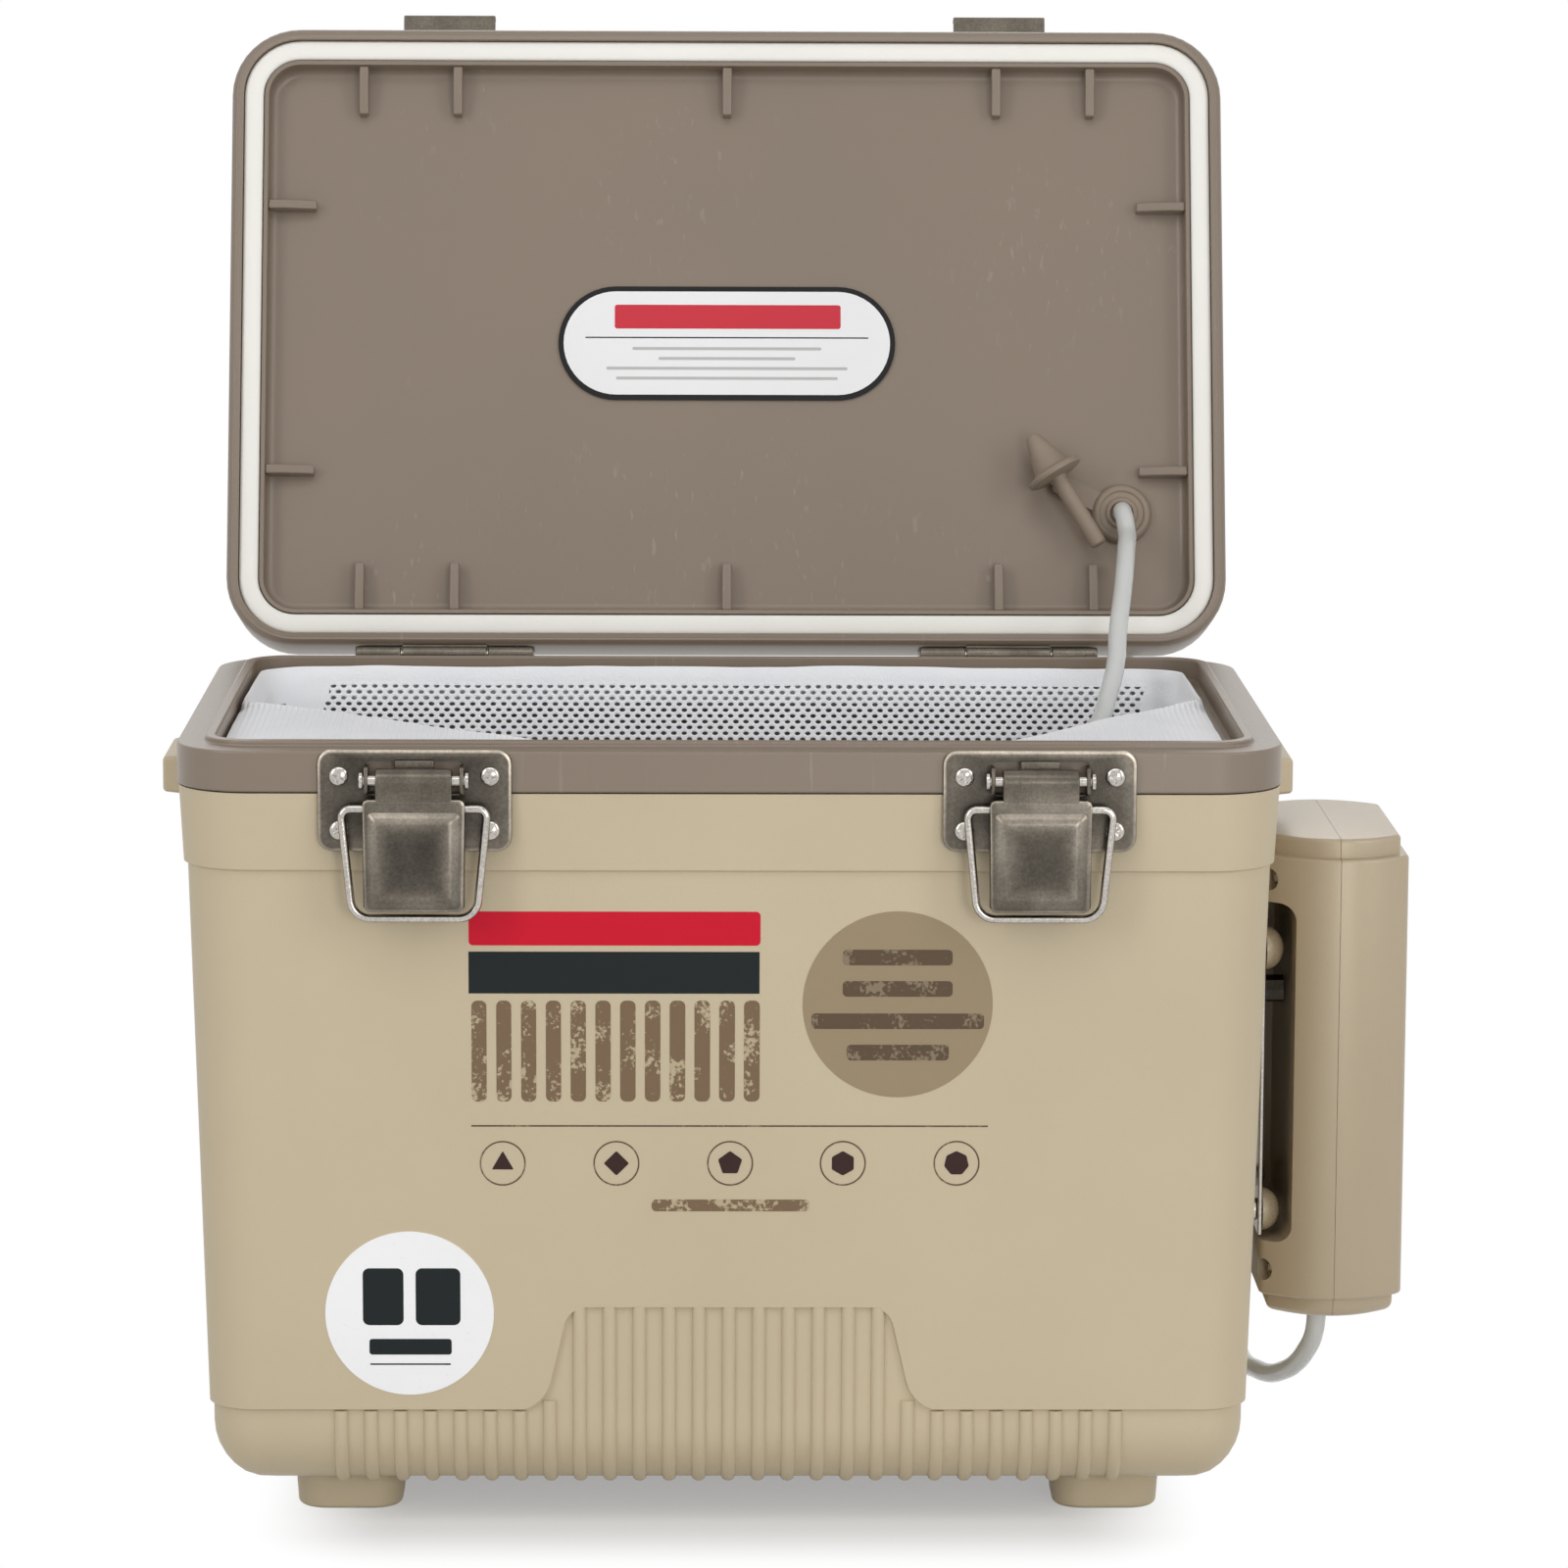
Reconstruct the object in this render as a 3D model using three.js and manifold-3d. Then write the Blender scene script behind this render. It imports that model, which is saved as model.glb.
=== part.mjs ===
import * as THREE from "three";
import { mergeVertices } from "three/addons/utils/BufferGeometryUtils.js";
import Module from "manifold-3d";

// An insulated live bait box with a net liner, a hinged lid, two draw latches and a clip-on air pump.
// Millimetres, x to the right, y to the back, z up, feet on z = 0. The lid stands open as it does in use.

// The box as a whole: the rim's outer faces, the floor to the rim's ledge, and the gaps between pieces
const boxWidth = 305;
const boxDepth = 193;
const boxCorner = 21;
const cornerLeast = 3;
const ledgeHeight = 221.5;
const standHeight = 11.5;
const clearance = 0.3;
const overrun = 2;

// Outer shell: every inset counts inwards from the rim's outer faces
const shellWall = 3;
const bottomRadius = 18;
const baseHeight = 23;
const bandHeight = 21.3;
const bandTopInset = 0.4;
const bandDraft = 1.2;
const bandStep = 1.1;
const wallDraft = 4.5;
const baseStep = 1.2;

// Arch in the front and back walls, and the upright ribs that fill it and the base
const archHeight = 30;
const archTopHalf = 44.5;
const archBaseHalf = 51.5;
const archBlend = 5;
const ribCount = 27;
const ribPitch = 8.3;
const ribWidth = 3.9;
const ribRelief = 1.4;
const ribRoot = 1;
const ribTail = 2;

// Liner and rim, one moulding
const rimHeight = 11.6;
const rimEdge = 0.8;
const linerWall = 2.5;
const lipInset = 7.8;
const lipWidth = 3.2;
const lipHeight = 1.7;
const upperStepDrop = 5;
const upperStepWidth = 4.3;
const lowerStepDrop = 16.5;
const lowerStepWidth = 3.2;
const linerDraft = 5.5;
const linerFloorHeight = 30;
const linerFloorRadius = 9;

// Feet and strap lugs
const footWidth = 31;
const footDepth = 30;
const footCorner = 9;
const footSideInset = 45.5;
const footSpan = boxWidth - 2 * footSideInset;
const footSetback = 3.5;
const lugReach = 8.9;
const lugTaper = 0.9;
const lugCentreY = 2.7;
const lugDepth = 40;
const lugHeight = 11.7;
const lugDrop = 13.1;
const lugChamfer = 1.2;

// Net liner with its hem, and the wire hoop inside the hem
const netWall = 2;
const netGap = 0.8;
const netTopDrop = 1;
const hemThickness = 4.5;
const hoopSize = 2.4;
const hoopDrop = 11;
const netBottomRadius = 9;

// Lid
const lidInset = 0.3;
const lidGap = 0.5;
const lidHeight = 26;
const lidWall = 2.5;
const lidDraft = 0.8;
const lidTopRadius = 7;
const lidEdge = 2;
const panelThickness = 10;
const channelInset = 4.1;
const channelWidth = 5.9;
const channelDepth = 5;
const ridgeWidth = 1.3;
const ridgeSet = 1.5;
const recessDepth = 8;
const recessDraft = 0.3;
const recessFillet = 2.7;
const gussetWidth = 2.9;
const gussetLength = 15;
const gussetDrop = 2.5;
const gussetEnd = 1.5;
const gussetShares = [-0.735, -0.545, 0, 0.545, 0.735];
const gussetSideShares = [-0.43, 0.43];
const gasketWidth = 5.3;
const gasketLift = 0.3;
const labelWidth = 103.6;
const labelHeight = 35.6;
const labelThickness = 0.6;
const labelSetback = 1;

// Hinges: axis at the height of the lid's seal face, just behind the box
const hingeSideInset = 66.75;
const hingeSpan = boxWidth - 2 * hingeSideInset;
const hingeWidth = 54;
const knuckleWidth = 25.6;
const knuckleGap = 0.4;
const knuckleRadius = 2.3;
const knuckleRelief = 0.5;
const hingePinRadius = 1.1;
const hingePinBore = 1.45;
const leafThickness = 1;
const leafHeight = 17;
const leafCorner = 3;
const leafClear = 2.8;
const openAngle = 107.2;

// Draw latches
const latchSideInset = 67.2;
const latchSpan = boxWidth - 2 * latchSideInset;
const latchShift = -0.8;
const plateWidth = 53;
const plateHeight = 28;
const plateThickness = 1.3;
const plateCorner = 4;
const plateRise = 0.5;
const windowHalf = 12.4;
const windowDrop = 3;
const windowHeight = 9.5;
const earThickness = 1.2;
const earReach = 7.4;
const earHeight = 7.6;
const pinDrop = 7.9;
const pinStandoff = 4.2;
const pinRadius = 1.5;
const pinHeadRadius = 2.4;
const pinHeadLength = 1;
const pinHole = 1.9;
const leverHalf = 14;
const leverDrop = 35.7;
const leverSkin = 1.2;
const leverFlange = 5.4;
const leverFlangeTop = 4.7;
const leverBore = 1.9;
const rollHalf = 10.4;
const rollRadius = 3.3;
const padHalf = 12.6;
const padHeight = 26.7;
const padMargin = 0.8;
const padLift = 1.8;
const padSlope = 2.2;
const bailDrop = 7.8;
const bailSetback = 3.9;
const bailLength = 30.2;
const bailWire = 1.15;
const bailTopHalf = 20;
const bailBottomHalf = 16.9;
const bailShoulder = 2.6;
const bailCorner = 5.5;
const bailHole = 1.6;
const bailLean = 181;
const screwSpreadX = 20.6;
const screwUpperDrop = 7.2;
const screwLowerDrop = 22.1;
const screwHeadRadius = 2.7;
const screwHeadHeight = 1.2;
const screwShank = 1.5;
const screwHole = 1.9;
const screwLength = 6;

// Strikes on the lid's free edge
const strikeWidth = 50;
const strikeHeight = 15;
const strikeRise = 3.5;
const strikeThickness = 1.2;
const strikeCorner = 3;
const hookWidth = 28.4;
const hookThickness = 1;
const hookRoom = 1.3;
const hookLip = 5;

// Hose grommet and its plug
const grommetSideInset = 31.5;
const grommetX = boxWidth / 2 - grommetSideInset;
const grommetSetback = 42;
const grommetFlange = 9.3;
const grommetFlangeHeight = 2.6;
const grommetOuterFlange = 9;
const grommetOuterHeight = 2;
const grommetSleeve = 6.2;
const grommetHole = 6.6;
const hoseRadius = 2.8;
const hoseGap = 0.5;
const hoseSides = 8;
const outerHoseSteps = 38;
const innerHoseSteps = 24;
const plugReach = 20.2;
const plugX = grommetX - plugReach;
const plugSetback = 51.9;
const plugLean = 31.3;
const plugFlange = 9;
const plugFlangeHeight = 2.4;
const plugStem = 2.3;
const plugStemLength = 24.4;
const plugCone = 5.6;
const plugConeTip = 2.2;
const plugConeLength = 12.5;
const strapWidth = 6;
const strapThickness = 1.4;

// Air pump on the right side
const pumpStandoff = 0.7;
const pumpWidth = 41.2;
const pumpDepth = 79;
const pumpCentreY = 4.2;
const pumpLugGap = 9.7;
const pumpHeight = 139.5;
const pumpBottom = ledgeHeight - lugDrop - lugHeight - pumpLugGap - pumpHeight;
const pumpCapHeight = 5.4;
const pumpCapInset = 2.3;
const pumpCorner = 4.5;
const pumpBow = 7.5;
const pumpTopRound = 1;
const pumpBottomRound = 3;
const pumpWall = 2.2;
const pumpSeam = 20.8;
const pumpRecessDepth = 8.6;
const pumpRecessLow = 21.5;
const pumpRecessHigh = 120.5;
const pumpRecessRound = 6;
const pumpRecessBack = 1.5;
const wellRadius = 4.4;
const wellInset = 6.2;
const wellDepth = 8.2;
const wellRise = 12.5;
const cellRadius = 13.1;
const cellLength = 50;
const cellY = 10.6;
const cellNubRadius = 3;
const cellNub = 1.2;
const motorDepth = 26;
const motorHeight = 62;
const outletX = 18.4;
const outletY = -15.5;
const outletRadius = 2.2;
const outletFlange = 4;
const outletLength = 1.5;
const outletSpan = 14;
const switchWidth = 10;
const switchHeight = 16;
const switchRise = 103;
const switchY = -17;
const switchProud = 1.6;
const switchGap = 0.4;

// Hanger that carries the pump: a plate on four posts with domed buffers, and the spring clip on the pump
const hangerThickness = 1.2;
const hangerGap = 0.6;
const hangerHalf = 29.2;
const hangerCentreY = 2.2;
const hangerInset = 1.5;
const hangerTopDrop = 6;
const bufferRadius = 6.2;
const bufferHeight = 5.2;
const bufferInset = 6.4;
const postRadius = 3.4;
const clipWidth = 18;
const clipThickness = 1.1;
const clipTail = 24;
const clipLeg = 30;
const clipRivet = 4;
const clipGap = 0.8;

// Air stone on the hose's end
const stoneRadius = 6;
const stoneLength = 26;
const stoneX = 64;
const stoneY = 2;

// Fineness of round shapes
const cornerSteps = 4;
const plateSteps = 2;
const labelSteps = 4;
const bowSteps = 3;
const filletSteps = 3;
const rodSides = 12;
const smallSides = 8;
const wellSides = 12;
const wireSides = 6;
const wireSteps = 26;
const mergeDistance = 1e-4;

// Heights and faces that several pieces share
const frontFace = -boxDepth / 2;
const backFace = boxDepth / 2;
const rimBottom = ledgeHeight - rimHeight;
const bandTop = rimBottom - clearance;
const bandBottom = bandTop - bandHeight;
const baseLine = standHeight + baseHeight;
const bandBottomInset = bandTopInset + bandDraft;
const wallTopInset = bandBottomInset + bandStep;
const panelInset = wallTopInset + wallDraft;
const baseInset = panelInset + baseStep;
const lidFace = ledgeHeight + lidGap;
const lidTop = lidFace + lidHeight;
const lipInner = lipInset + lipWidth;
const upperStepInset = lipInner + upperStepWidth;
const upperStepZ = ledgeHeight - upperStepDrop;
const lowerStepInset = upperStepInset + lowerStepWidth;
const lowerStepZ = upperStepZ - lowerStepDrop;
const linerBottomInset = lowerStepInset + linerDraft;
const hingeY = backFace + knuckleRelief + knuckleRadius;
const hingeZ = lidFace;

// How far the outer wall stands in from the rim at a height between the base line and the band
function wallInsetAt(z) {
  const share = (bandBottom - z) / (bandBottom - baseLine);
  return wallTopInset + wallDraft * share;
}

const wasm = await Module();
wasm.setup();

function paint(color, roughness, metalness) {
  return new THREE.MeshStandardMaterial({ color, roughness, metalness });
}

const tan = paint(0xc7b899, 0.55, 0);
const taupe = paint(0x8c7c6c, 0.4, 0);
const pumpTan = paint(0xa8987d, 0.5, 0);
const steel = paint(0x8d8a84, 0.32, 1);
const brightSteel = paint(0xb9b8b4, 0.25, 1);
const white = paint(0xeeece4, 0.6, 0);
const black = paint(0x1d1d1f, 0.5, 0);
const foam = paint(0xe9e4d0, 0.9, 0);
const rubber = paint(0x857767, 0.7, 0);
const netWhite = paint(0xf2f2f4, 0.85, 0);
const hoseClear = paint(0xc9ced0, 0.2, 0);
const stoneGrey = paint(0x8fa0a8, 0.95, 0);
const cellSkin = paint(0x3b4a58, 0.4, 0.3);

// Solids and their geometry
function solidOf(geometry) {
  const bare = geometry.clone();
  bare.deleteAttribute("normal");
  bare.deleteAttribute("uv");
  const merged = mergeVertices(bare, mergeDistance);
  const corners = merged.index.array;
  const kept = [];
  for (let i = 0; i < corners.length; i += 3) {
    const [a, b, c] = [corners[i], corners[i + 1], corners[i + 2]];
    if (a !== b && b !== c && c !== a) kept.push(a, b, c);
  }
  const vertProperties = merged.attributes.position.array;
  const triVerts = new Uint32Array(kept);
  return new wasm.Manifold(new wasm.Mesh({ numProp: 3, vertProperties, triVerts }));
}

function geometryOf(solid) {
  const mesh = solid.getMesh();
  const geometry = new THREE.BufferGeometry();
  geometry.setAttribute("position", new THREE.BufferAttribute(mesh.vertProperties, 3));
  geometry.setIndex(new THREE.BufferAttribute(mesh.triVerts, 1));
  return geometry;
}

function join(...shapes) {
  return geometryOf(shapes.map(solidOf).reduce((whole, next) => whole.add(next)));
}

function cut(body, ...tools) {
  return geometryOf(tools.map(solidOf).reduce((left, tool) => left.subtract(tool), solidOf(body)));
}

function common(a, b) {
  return geometryOf(solidOf(a).intersect(solidOf(b)));
}

// A block from its low corner to its high corner
function block(lowX, highX, lowY, highY, lowZ, highZ) {
  const geometry = new THREE.BoxGeometry(highX - lowX, highY - lowY, highZ - lowZ);
  return geometry.translate((lowX + highX) / 2, (lowY + highY) / 2, (lowZ + highZ) / 2);
}

// Round bars along each axis, from low to high
function rodX(radius, low, high, y, z, sides = rodSides) {
  const geometry = new THREE.CylinderGeometry(radius, radius, high - low, sides);
  return geometry.rotateZ(Math.PI / 2).translate((low + high) / 2, y, z);
}

function rodY(radius, low, high, x, z, sides = rodSides) {
  const geometry = new THREE.CylinderGeometry(radius, radius, high - low, sides);
  return geometry.translate(x, (low + high) / 2, z);
}

function rodZ(radius, low, high, x, y, sides = rodSides) {
  const geometry = new THREE.CylinderGeometry(radius, radius, high - low, sides);
  return geometry.rotateX(Math.PI / 2).translate(x, y, (low + high) / 2);
}

// The plan of the box, drawn in by an inset
function boxRing(inset, z) {
  const halfX = boxWidth / 2 - inset;
  const halfY = boxDepth / 2 - inset;
  const radius = Math.max(boxCorner - inset, cornerLeast);
  const signs = [[1, 1], [-1, 1], [-1, -1], [1, -1]];
  const ring = [];
  signs.forEach(([signX, signY], quarter) => {
    for (let step = 0; step <= cornerSteps; step += 1) {
      const angle = (quarter + step / cornerSteps) * (Math.PI / 2);
      const x = signX * (halfX - radius) + radius * Math.cos(angle);
      const y = signY * (halfY - radius) + radius * Math.sin(angle);
      ring.push([x, y, z]);
    }
  });
  return ring;
}

// A skin over rings with equally many points. An open run is closed by a flat face at each end.
function loft(rings, closedSection = false) {
  const size = rings[0].length;
  const index = [];
  const bands = closedSection ? rings.length : rings.length - 1;
  for (let i = 0; i < bands; i += 1) {
    const here = i * size;
    const next = ((i + 1) % rings.length) * size;
    for (let j = 0; j < size; j += 1) {
      const k = (j + 1) % size;
      index.push(here + j, here + k, next + k, here + j, next + k, next + j);
    }
  }
  if (!closedSection) {
    const last = (rings.length - 1) * size;
    for (let j = 1; j < size - 1; j += 1) {
      index.push(0, j + 1, j, last, last + j, last + j + 1);
    }
  }
  const geometry = new THREE.BufferGeometry();
  const points = new Float32Array(rings.flat(2));
  geometry.setAttribute("position", new THREE.BufferAttribute(points, 3));
  geometry.setIndex(index);
  return outwards(geometry);
}

// A wall carried round the plan of the box. Each point of its section is an inset and a height.
function sweptBox(section, closedSection = false) {
  return loft(section.map(([inset, z]) => boxRing(inset, z)), closedSection);
}

// Turns a closed surface so that its faces point out
function outwards(geometry) {
  const p = geometry.attributes.position;
  const corners = geometry.index.array;
  let sixVolumes = 0;
  const [a, b, c] = [new THREE.Vector3(), new THREE.Vector3(), new THREE.Vector3()];
  for (let i = 0; i < corners.length; i += 3) {
    a.fromBufferAttribute(p, corners[i]);
    b.fromBufferAttribute(p, corners[i + 1]);
    c.fromBufferAttribute(p, corners[i + 2]);
    sixVolumes += a.dot(b.cross(c));
  }
  if (sixVolumes < 0) {
    for (let i = 0; i < corners.length; i += 3) {
      [corners[i + 1], corners[i + 2]] = [corners[i + 2], corners[i + 1]];
    }
  }
  return geometry;
}

// Points of a quarter round in a section, from the flat bottom up to the upright wall
function bottomFillet(inset, z, radius) {
  const points = [];
  for (let step = 0; step <= filletSteps; step += 1) {
    const turn = (step / filletSteps) * (Math.PI / 2);
    points.push([inset + radius * (1 - Math.sin(turn)), z + radius * (1 - Math.cos(turn))]);
  }
  return points;
}

// A flat shape with round corners, centred
function roundedShape(width, height, radius) {
  const [x, y] = [width / 2, height / 2];
  const r = Math.min(radius, x, y);
  const shape = new THREE.Shape();
  shape.absarc(x - r, y - r, r, 0, Math.PI / 2);
  shape.absarc(r - x, y - r, r, Math.PI / 2, Math.PI);
  shape.absarc(r - x, r - y, r, Math.PI, Math.PI * 1.5);
  shape.absarc(x - r, r - y, r, Math.PI * 1.5, Math.PI * 2);
  shape.closePath();
  return shape;
}

function extruded(shape, depth, curveSegments = plateSteps) {
  return new THREE.ExtrudeGeometry(shape, { depth, bevelEnabled: false, curveSegments });
}

// A shape drawn in x and z, from a back face at y towards the front
function towardsFront(shape, depth, y, curveSegments = plateSteps) {
  return extruded(shape, depth, curveSegments).rotateX(Math.PI / 2).translate(0, y, 0);
}

// A side view drawn in y and z, carried along x by a width from zero
function sideView(shape, width, curveSegments = plateSteps) {
  const turn = new THREE.Matrix4().makeBasis(
    new THREE.Vector3(0, 1, 0),
    new THREE.Vector3(0, 0, 1),
    new THREE.Vector3(1, 0, 0),
  );
  return extruded(shape, width, curveSegments).applyMatrix4(turn);
}

// A round wire or hose along a curve
function alongCurve(curve, radius, sides, steps) {
  const section = new THREE.Shape();
  for (let i = 0; i < sides; i += 1) {
    const angle = (i / sides) * Math.PI * 2;
    const point = [radius * Math.cos(angle), radius * Math.sin(angle)];
    if (i === 0) section.moveTo(...point);
    else section.lineTo(...point);
  }
  section.closePath();
  return new THREE.ExtrudeGeometry(section, { steps, extrudePath: curve, bevelEnabled: false });
}

const assembly = new THREE.Group();
const lid = new THREE.Group();
lid.position.set(0, hingeY, hingeZ);
lid.rotation.x = THREE.MathUtils.degToRad(-openAngle);
assembly.add(lid);

function add(name, geometry, material, parent = assembly) {
  const mesh = new THREE.Mesh(geometry, material);
  mesh.name = name;
  parent.add(mesh);
  return mesh;
}

// Lid pieces are drawn closed, in the frame of the box, and then hung on the hinge axis
function addToLid(name, geometry, material) {
  const mesh = add(name, geometry, material, lid);
  mesh.position.set(0, -hingeY, -hingeZ);
  return mesh;
}

const sides = [["left", -1], ["right", 1]];

// Screw places of the two latches, shared by the plates, the rim and the shell
const latchTop = ledgeHeight + plateRise;
const plateBack = frontFace - clearance;
const plateFront = plateBack - plateThickness;
const screwPlaces = [];
sides.forEach(([side, sign]) => {
  [["outer", sign], ["inner", -sign]].forEach(([edge, towards]) => {
    [["upper", screwUpperDrop], ["lower", screwLowerDrop]].forEach(([level, drop]) => {
      const x = latchShift + (sign * latchSpan) / 2 + towards * screwSpreadX;
      screwPlaces.push({ name: `latch_screw_${side}_${edge}_${level}`, x, z: latchTop - drop });
    });
  });
});

function screwHoles() {
  return screwPlaces.map(({ x, z }) => {
    const depth = screwLength + clearance;
    return rodY(screwHole, plateFront - overrun, plateBack + depth, x, z, smallSides);
  });
}

// Pump hanger places, shared by the plate, the shell and the pump
const pumpLeft = boxWidth / 2 + pumpStandoff;
const recessLow = pumpBottom + pumpRecessLow;
const recessHigh = pumpBottom + pumpRecessHigh;
const hangerLeft = pumpLeft - hangerGap;
const hangerRight = hangerLeft + hangerThickness;
const hangerLow = recessLow + hangerInset;
const hangerHigh = recessHigh - hangerTopDrop;
const bufferPlaces = [];
const upperBufferZ = hangerHigh - bufferInset - bufferInset / 3;
[["lower", hangerLow + bufferInset], ["upper", upperBufferZ]].forEach(([level, z]) => {
  [["front", -1], ["rear", 1]].forEach(([end, sign]) => {
    const y = hangerCentreY + sign * (hangerHalf - bufferInset);
    bufferPlaces.push({ name: `pump_buffer_${level}_${end}`, y, z });
  });
});

// Outer shell: a drafted box open at the top, with its band, base step, arches and ribs
function shellOutside() {
  return [
    ...bottomFillet(baseInset, standHeight, bottomRadius),
    [baseInset, baseLine],
    [panelInset, baseLine + baseStep / 2],
    [wallTopInset, bandBottom - bandStep / 2],
    [bandBottomInset, bandBottom],
    [bandTopInset, bandTop],
  ];
}

function shellInside(gap) {
  const radius = bottomRadius - shellWall - gap;
  return [
    ...bottomFillet(baseInset + shellWall + gap, standHeight + shellWall + gap, radius),
    [baseInset + shellWall + gap, baseLine],
    [wallTopInset + shellWall + gap, bandTop],
  ];
}

// The arch's outline in x and z, measured from the base line
function archShape() {
  const slope = (archBaseHalf - archTopHalf) / archHeight;
  const lower = archBaseHalf - slope * archBlend;
  const upper = archTopHalf + slope * archBlend;
  const shape = new THREE.Shape();
  shape.moveTo(-archBaseHalf - archBlend, -overrun);
  shape.lineTo(-archBaseHalf - archBlend, 0);
  shape.quadraticCurveTo(-archBaseHalf, 0, -lower, archBlend);
  shape.lineTo(-upper, archHeight - archBlend);
  shape.quadraticCurveTo(-archTopHalf, archHeight, archBlend - archTopHalf, archHeight);
  shape.lineTo(archTopHalf - archBlend, archHeight);
  shape.quadraticCurveTo(archTopHalf, archHeight, upper, archHeight - archBlend);
  shape.lineTo(lower, archBlend);
  shape.quadraticCurveTo(archBaseHalf, 0, archBaseHalf + archBlend, 0);
  shape.lineTo(archBaseHalf + archBlend, -overrun);
  shape.closePath();
  return shape;
}

const wallLean = Math.atan(wallDraft / (bandBottom - baseLine));

// Cuts the arch one base step deep into the front wall, along its lean
function archCutter() {
  const face = frontFace + baseInset;
  const tool = towardsFront(archShape(), overrun + baseStep, 0);
  return tool.rotateX(wallLean).translate(0, face, baseLine);
}

// Height of a rib's top at a distance from the middle
function ribTop(x) {
  const share = (archBaseHalf - Math.abs(x)) / (archBaseHalf - archTopHalf);
  return baseLine + archHeight * Math.min(Math.max(share, 0), 1);
}

// One rib on the front wall: its side view runs up the wall and round the bottom edge
function rib(x) {
  const top = ribTop(x);
  const centreY = frontFace + baseInset + bottomRadius;
  const centreZ = standHeight + bottomRadius;
  const leanAt = (z) => Math.tan(wallLean) * Math.max(z - baseLine, 0);
  const face = (z, out) => frontFace + baseInset - leanAt(z) - out;
  const outer = [];
  const inner = [];
  for (let step = 0; step <= filletSteps; step += 1) {
    const turn = (step / filletSteps) * (Math.PI / 2);
    const reach = (radius) => [centreY - radius * Math.sin(turn), centreZ - radius * Math.cos(turn)];
    outer.push(reach(bottomRadius + ribRelief));
    inner.push(reach(bottomRadius - ribRoot));
  }
  const tail = [centreY + ribTail, standHeight - ribRelief / 2];
  const tailRoot = [centreY + ribTail, standHeight + ribRoot];
  const points = [tail, ...outer];
  points.push([face(baseLine, ribRelief), baseLine]);
  if (top > baseLine) points.push([face(top - ribRelief, ribRelief), top - ribRelief]);
  points.push([face(top, 0), top + clearance]);
  points.push([face(top, -ribRoot), top + clearance]);
  points.push([face(baseLine, -ribRoot), baseLine]);
  points.push(...inner.reverse(), tailRoot);
  const shape = new THREE.Shape(points.map(([y, z]) => new THREE.Vector2(y, z)));
  return sideView(shape, ribWidth).translate(x - ribWidth / 2, 0, 0);
}

function ribsOfOneSide() {
  const places = [...Array(ribCount).keys()].map((i) => (i - (ribCount - 1) / 2) * ribPitch);
  return places.map(rib);
}

function makeOuterShell() {
  const section = [...shellOutside(), ...shellInside(0).reverse()];
  const walls = cut(sweptBox(section), archCutter(), archCutter().rotateZ(Math.PI));
  const ribs = ribsOfOneSide();
  const ribsBehind = ribs.map((shape) => shape.clone().rotateZ(Math.PI));
  const bufferHoles = bufferPlaces.map(({ y, z }) => {
    return rodX(postRadius + clearance, boxWidth / 4, boxWidth, y, z, smallSides);
  });
  return cut(join(walls, ...ribs, ...ribsBehind), ...screwHoles(), ...bufferHoles);
}

add("outer_shell", makeOuterShell(), tan);

// Liner and rim: the inner tub with its two steps, the lip, the ledge and the rim that caps the shell
const linerOutside = [
  ...bottomFillet(
    linerBottomInset - linerWall,
    linerFloorHeight - linerWall,
    linerFloorRadius + linerWall,
  ),
  [lowerStepInset - linerWall, lowerStepZ - linerWall],
  [upperStepInset - linerWall, lowerStepZ - linerWall + lowerStepWidth],
  [upperStepInset - linerWall, rimBottom],
];

const linerInside = [
  [lipInset, ledgeHeight],
  [lipInset, ledgeHeight + lipHeight - rimEdge / 2],
  [lipInset + rimEdge / 2, ledgeHeight + lipHeight],
  [lipInner - rimEdge / 2, ledgeHeight + lipHeight],
  [lipInner, ledgeHeight + lipHeight - rimEdge / 2],
  [lipInner, upperStepZ],
  [upperStepInset, upperStepZ],
  [upperStepInset, lowerStepZ],
  [lowerStepInset, lowerStepZ],
  ...bottomFillet(linerBottomInset, linerFloorHeight, linerFloorRadius).reverse(),
];

function makeLiner() {
  const rim = [[0, rimBottom], [0, ledgeHeight - rimEdge], [rimEdge, ledgeHeight]];
  return cut(sweptBox([...linerOutside, ...rim, ...linerInside]), ...screwHoles());
}

add("liner_and_rim", makeLiner(), taupe);

function makeWallFoam() {
  const outside = shellInside(clearance);
  const inside = [
    ...bottomFillet(
      linerBottomInset - linerWall - clearance,
      linerFloorHeight - linerWall - clearance,
      linerFloorRadius + linerWall + clearance,
    ),
    [lowerStepInset - linerWall - clearance, lowerStepZ - linerWall - clearance],
    [upperStepInset - linerWall - clearance, lowerStepZ - linerWall - clearance + lowerStepWidth],
    [upperStepInset - linerWall - clearance, bandTop],
  ];
  const posts = bufferPlaces.map(({ y, z }) => {
    return rodX(postRadius + clearance, boxWidth / 4, boxWidth, y, z, smallSides);
  });
  return cut(sweptBox([...outside, ...inside.reverse()]), ...screwHoles(), ...posts);
}

add("wall_foam", makeWallFoam(), foam);

// Feet
const footY = frontFace + baseInset + bottomRadius + footSetback + footDepth / 2;
[["front", -1], ["rear", 1]].forEach(([end, signY]) => {
  sides.forEach(([side, signX]) => {
    const shape = roundedShape(footWidth, footDepth, footCorner);
    const foot = extruded(shape, standHeight - clearance);
    add(`foot_${end}_${side}`, foot.translate((signX * footSpan) / 2, -signY * footY, 0), tan);
  });
});

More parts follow.
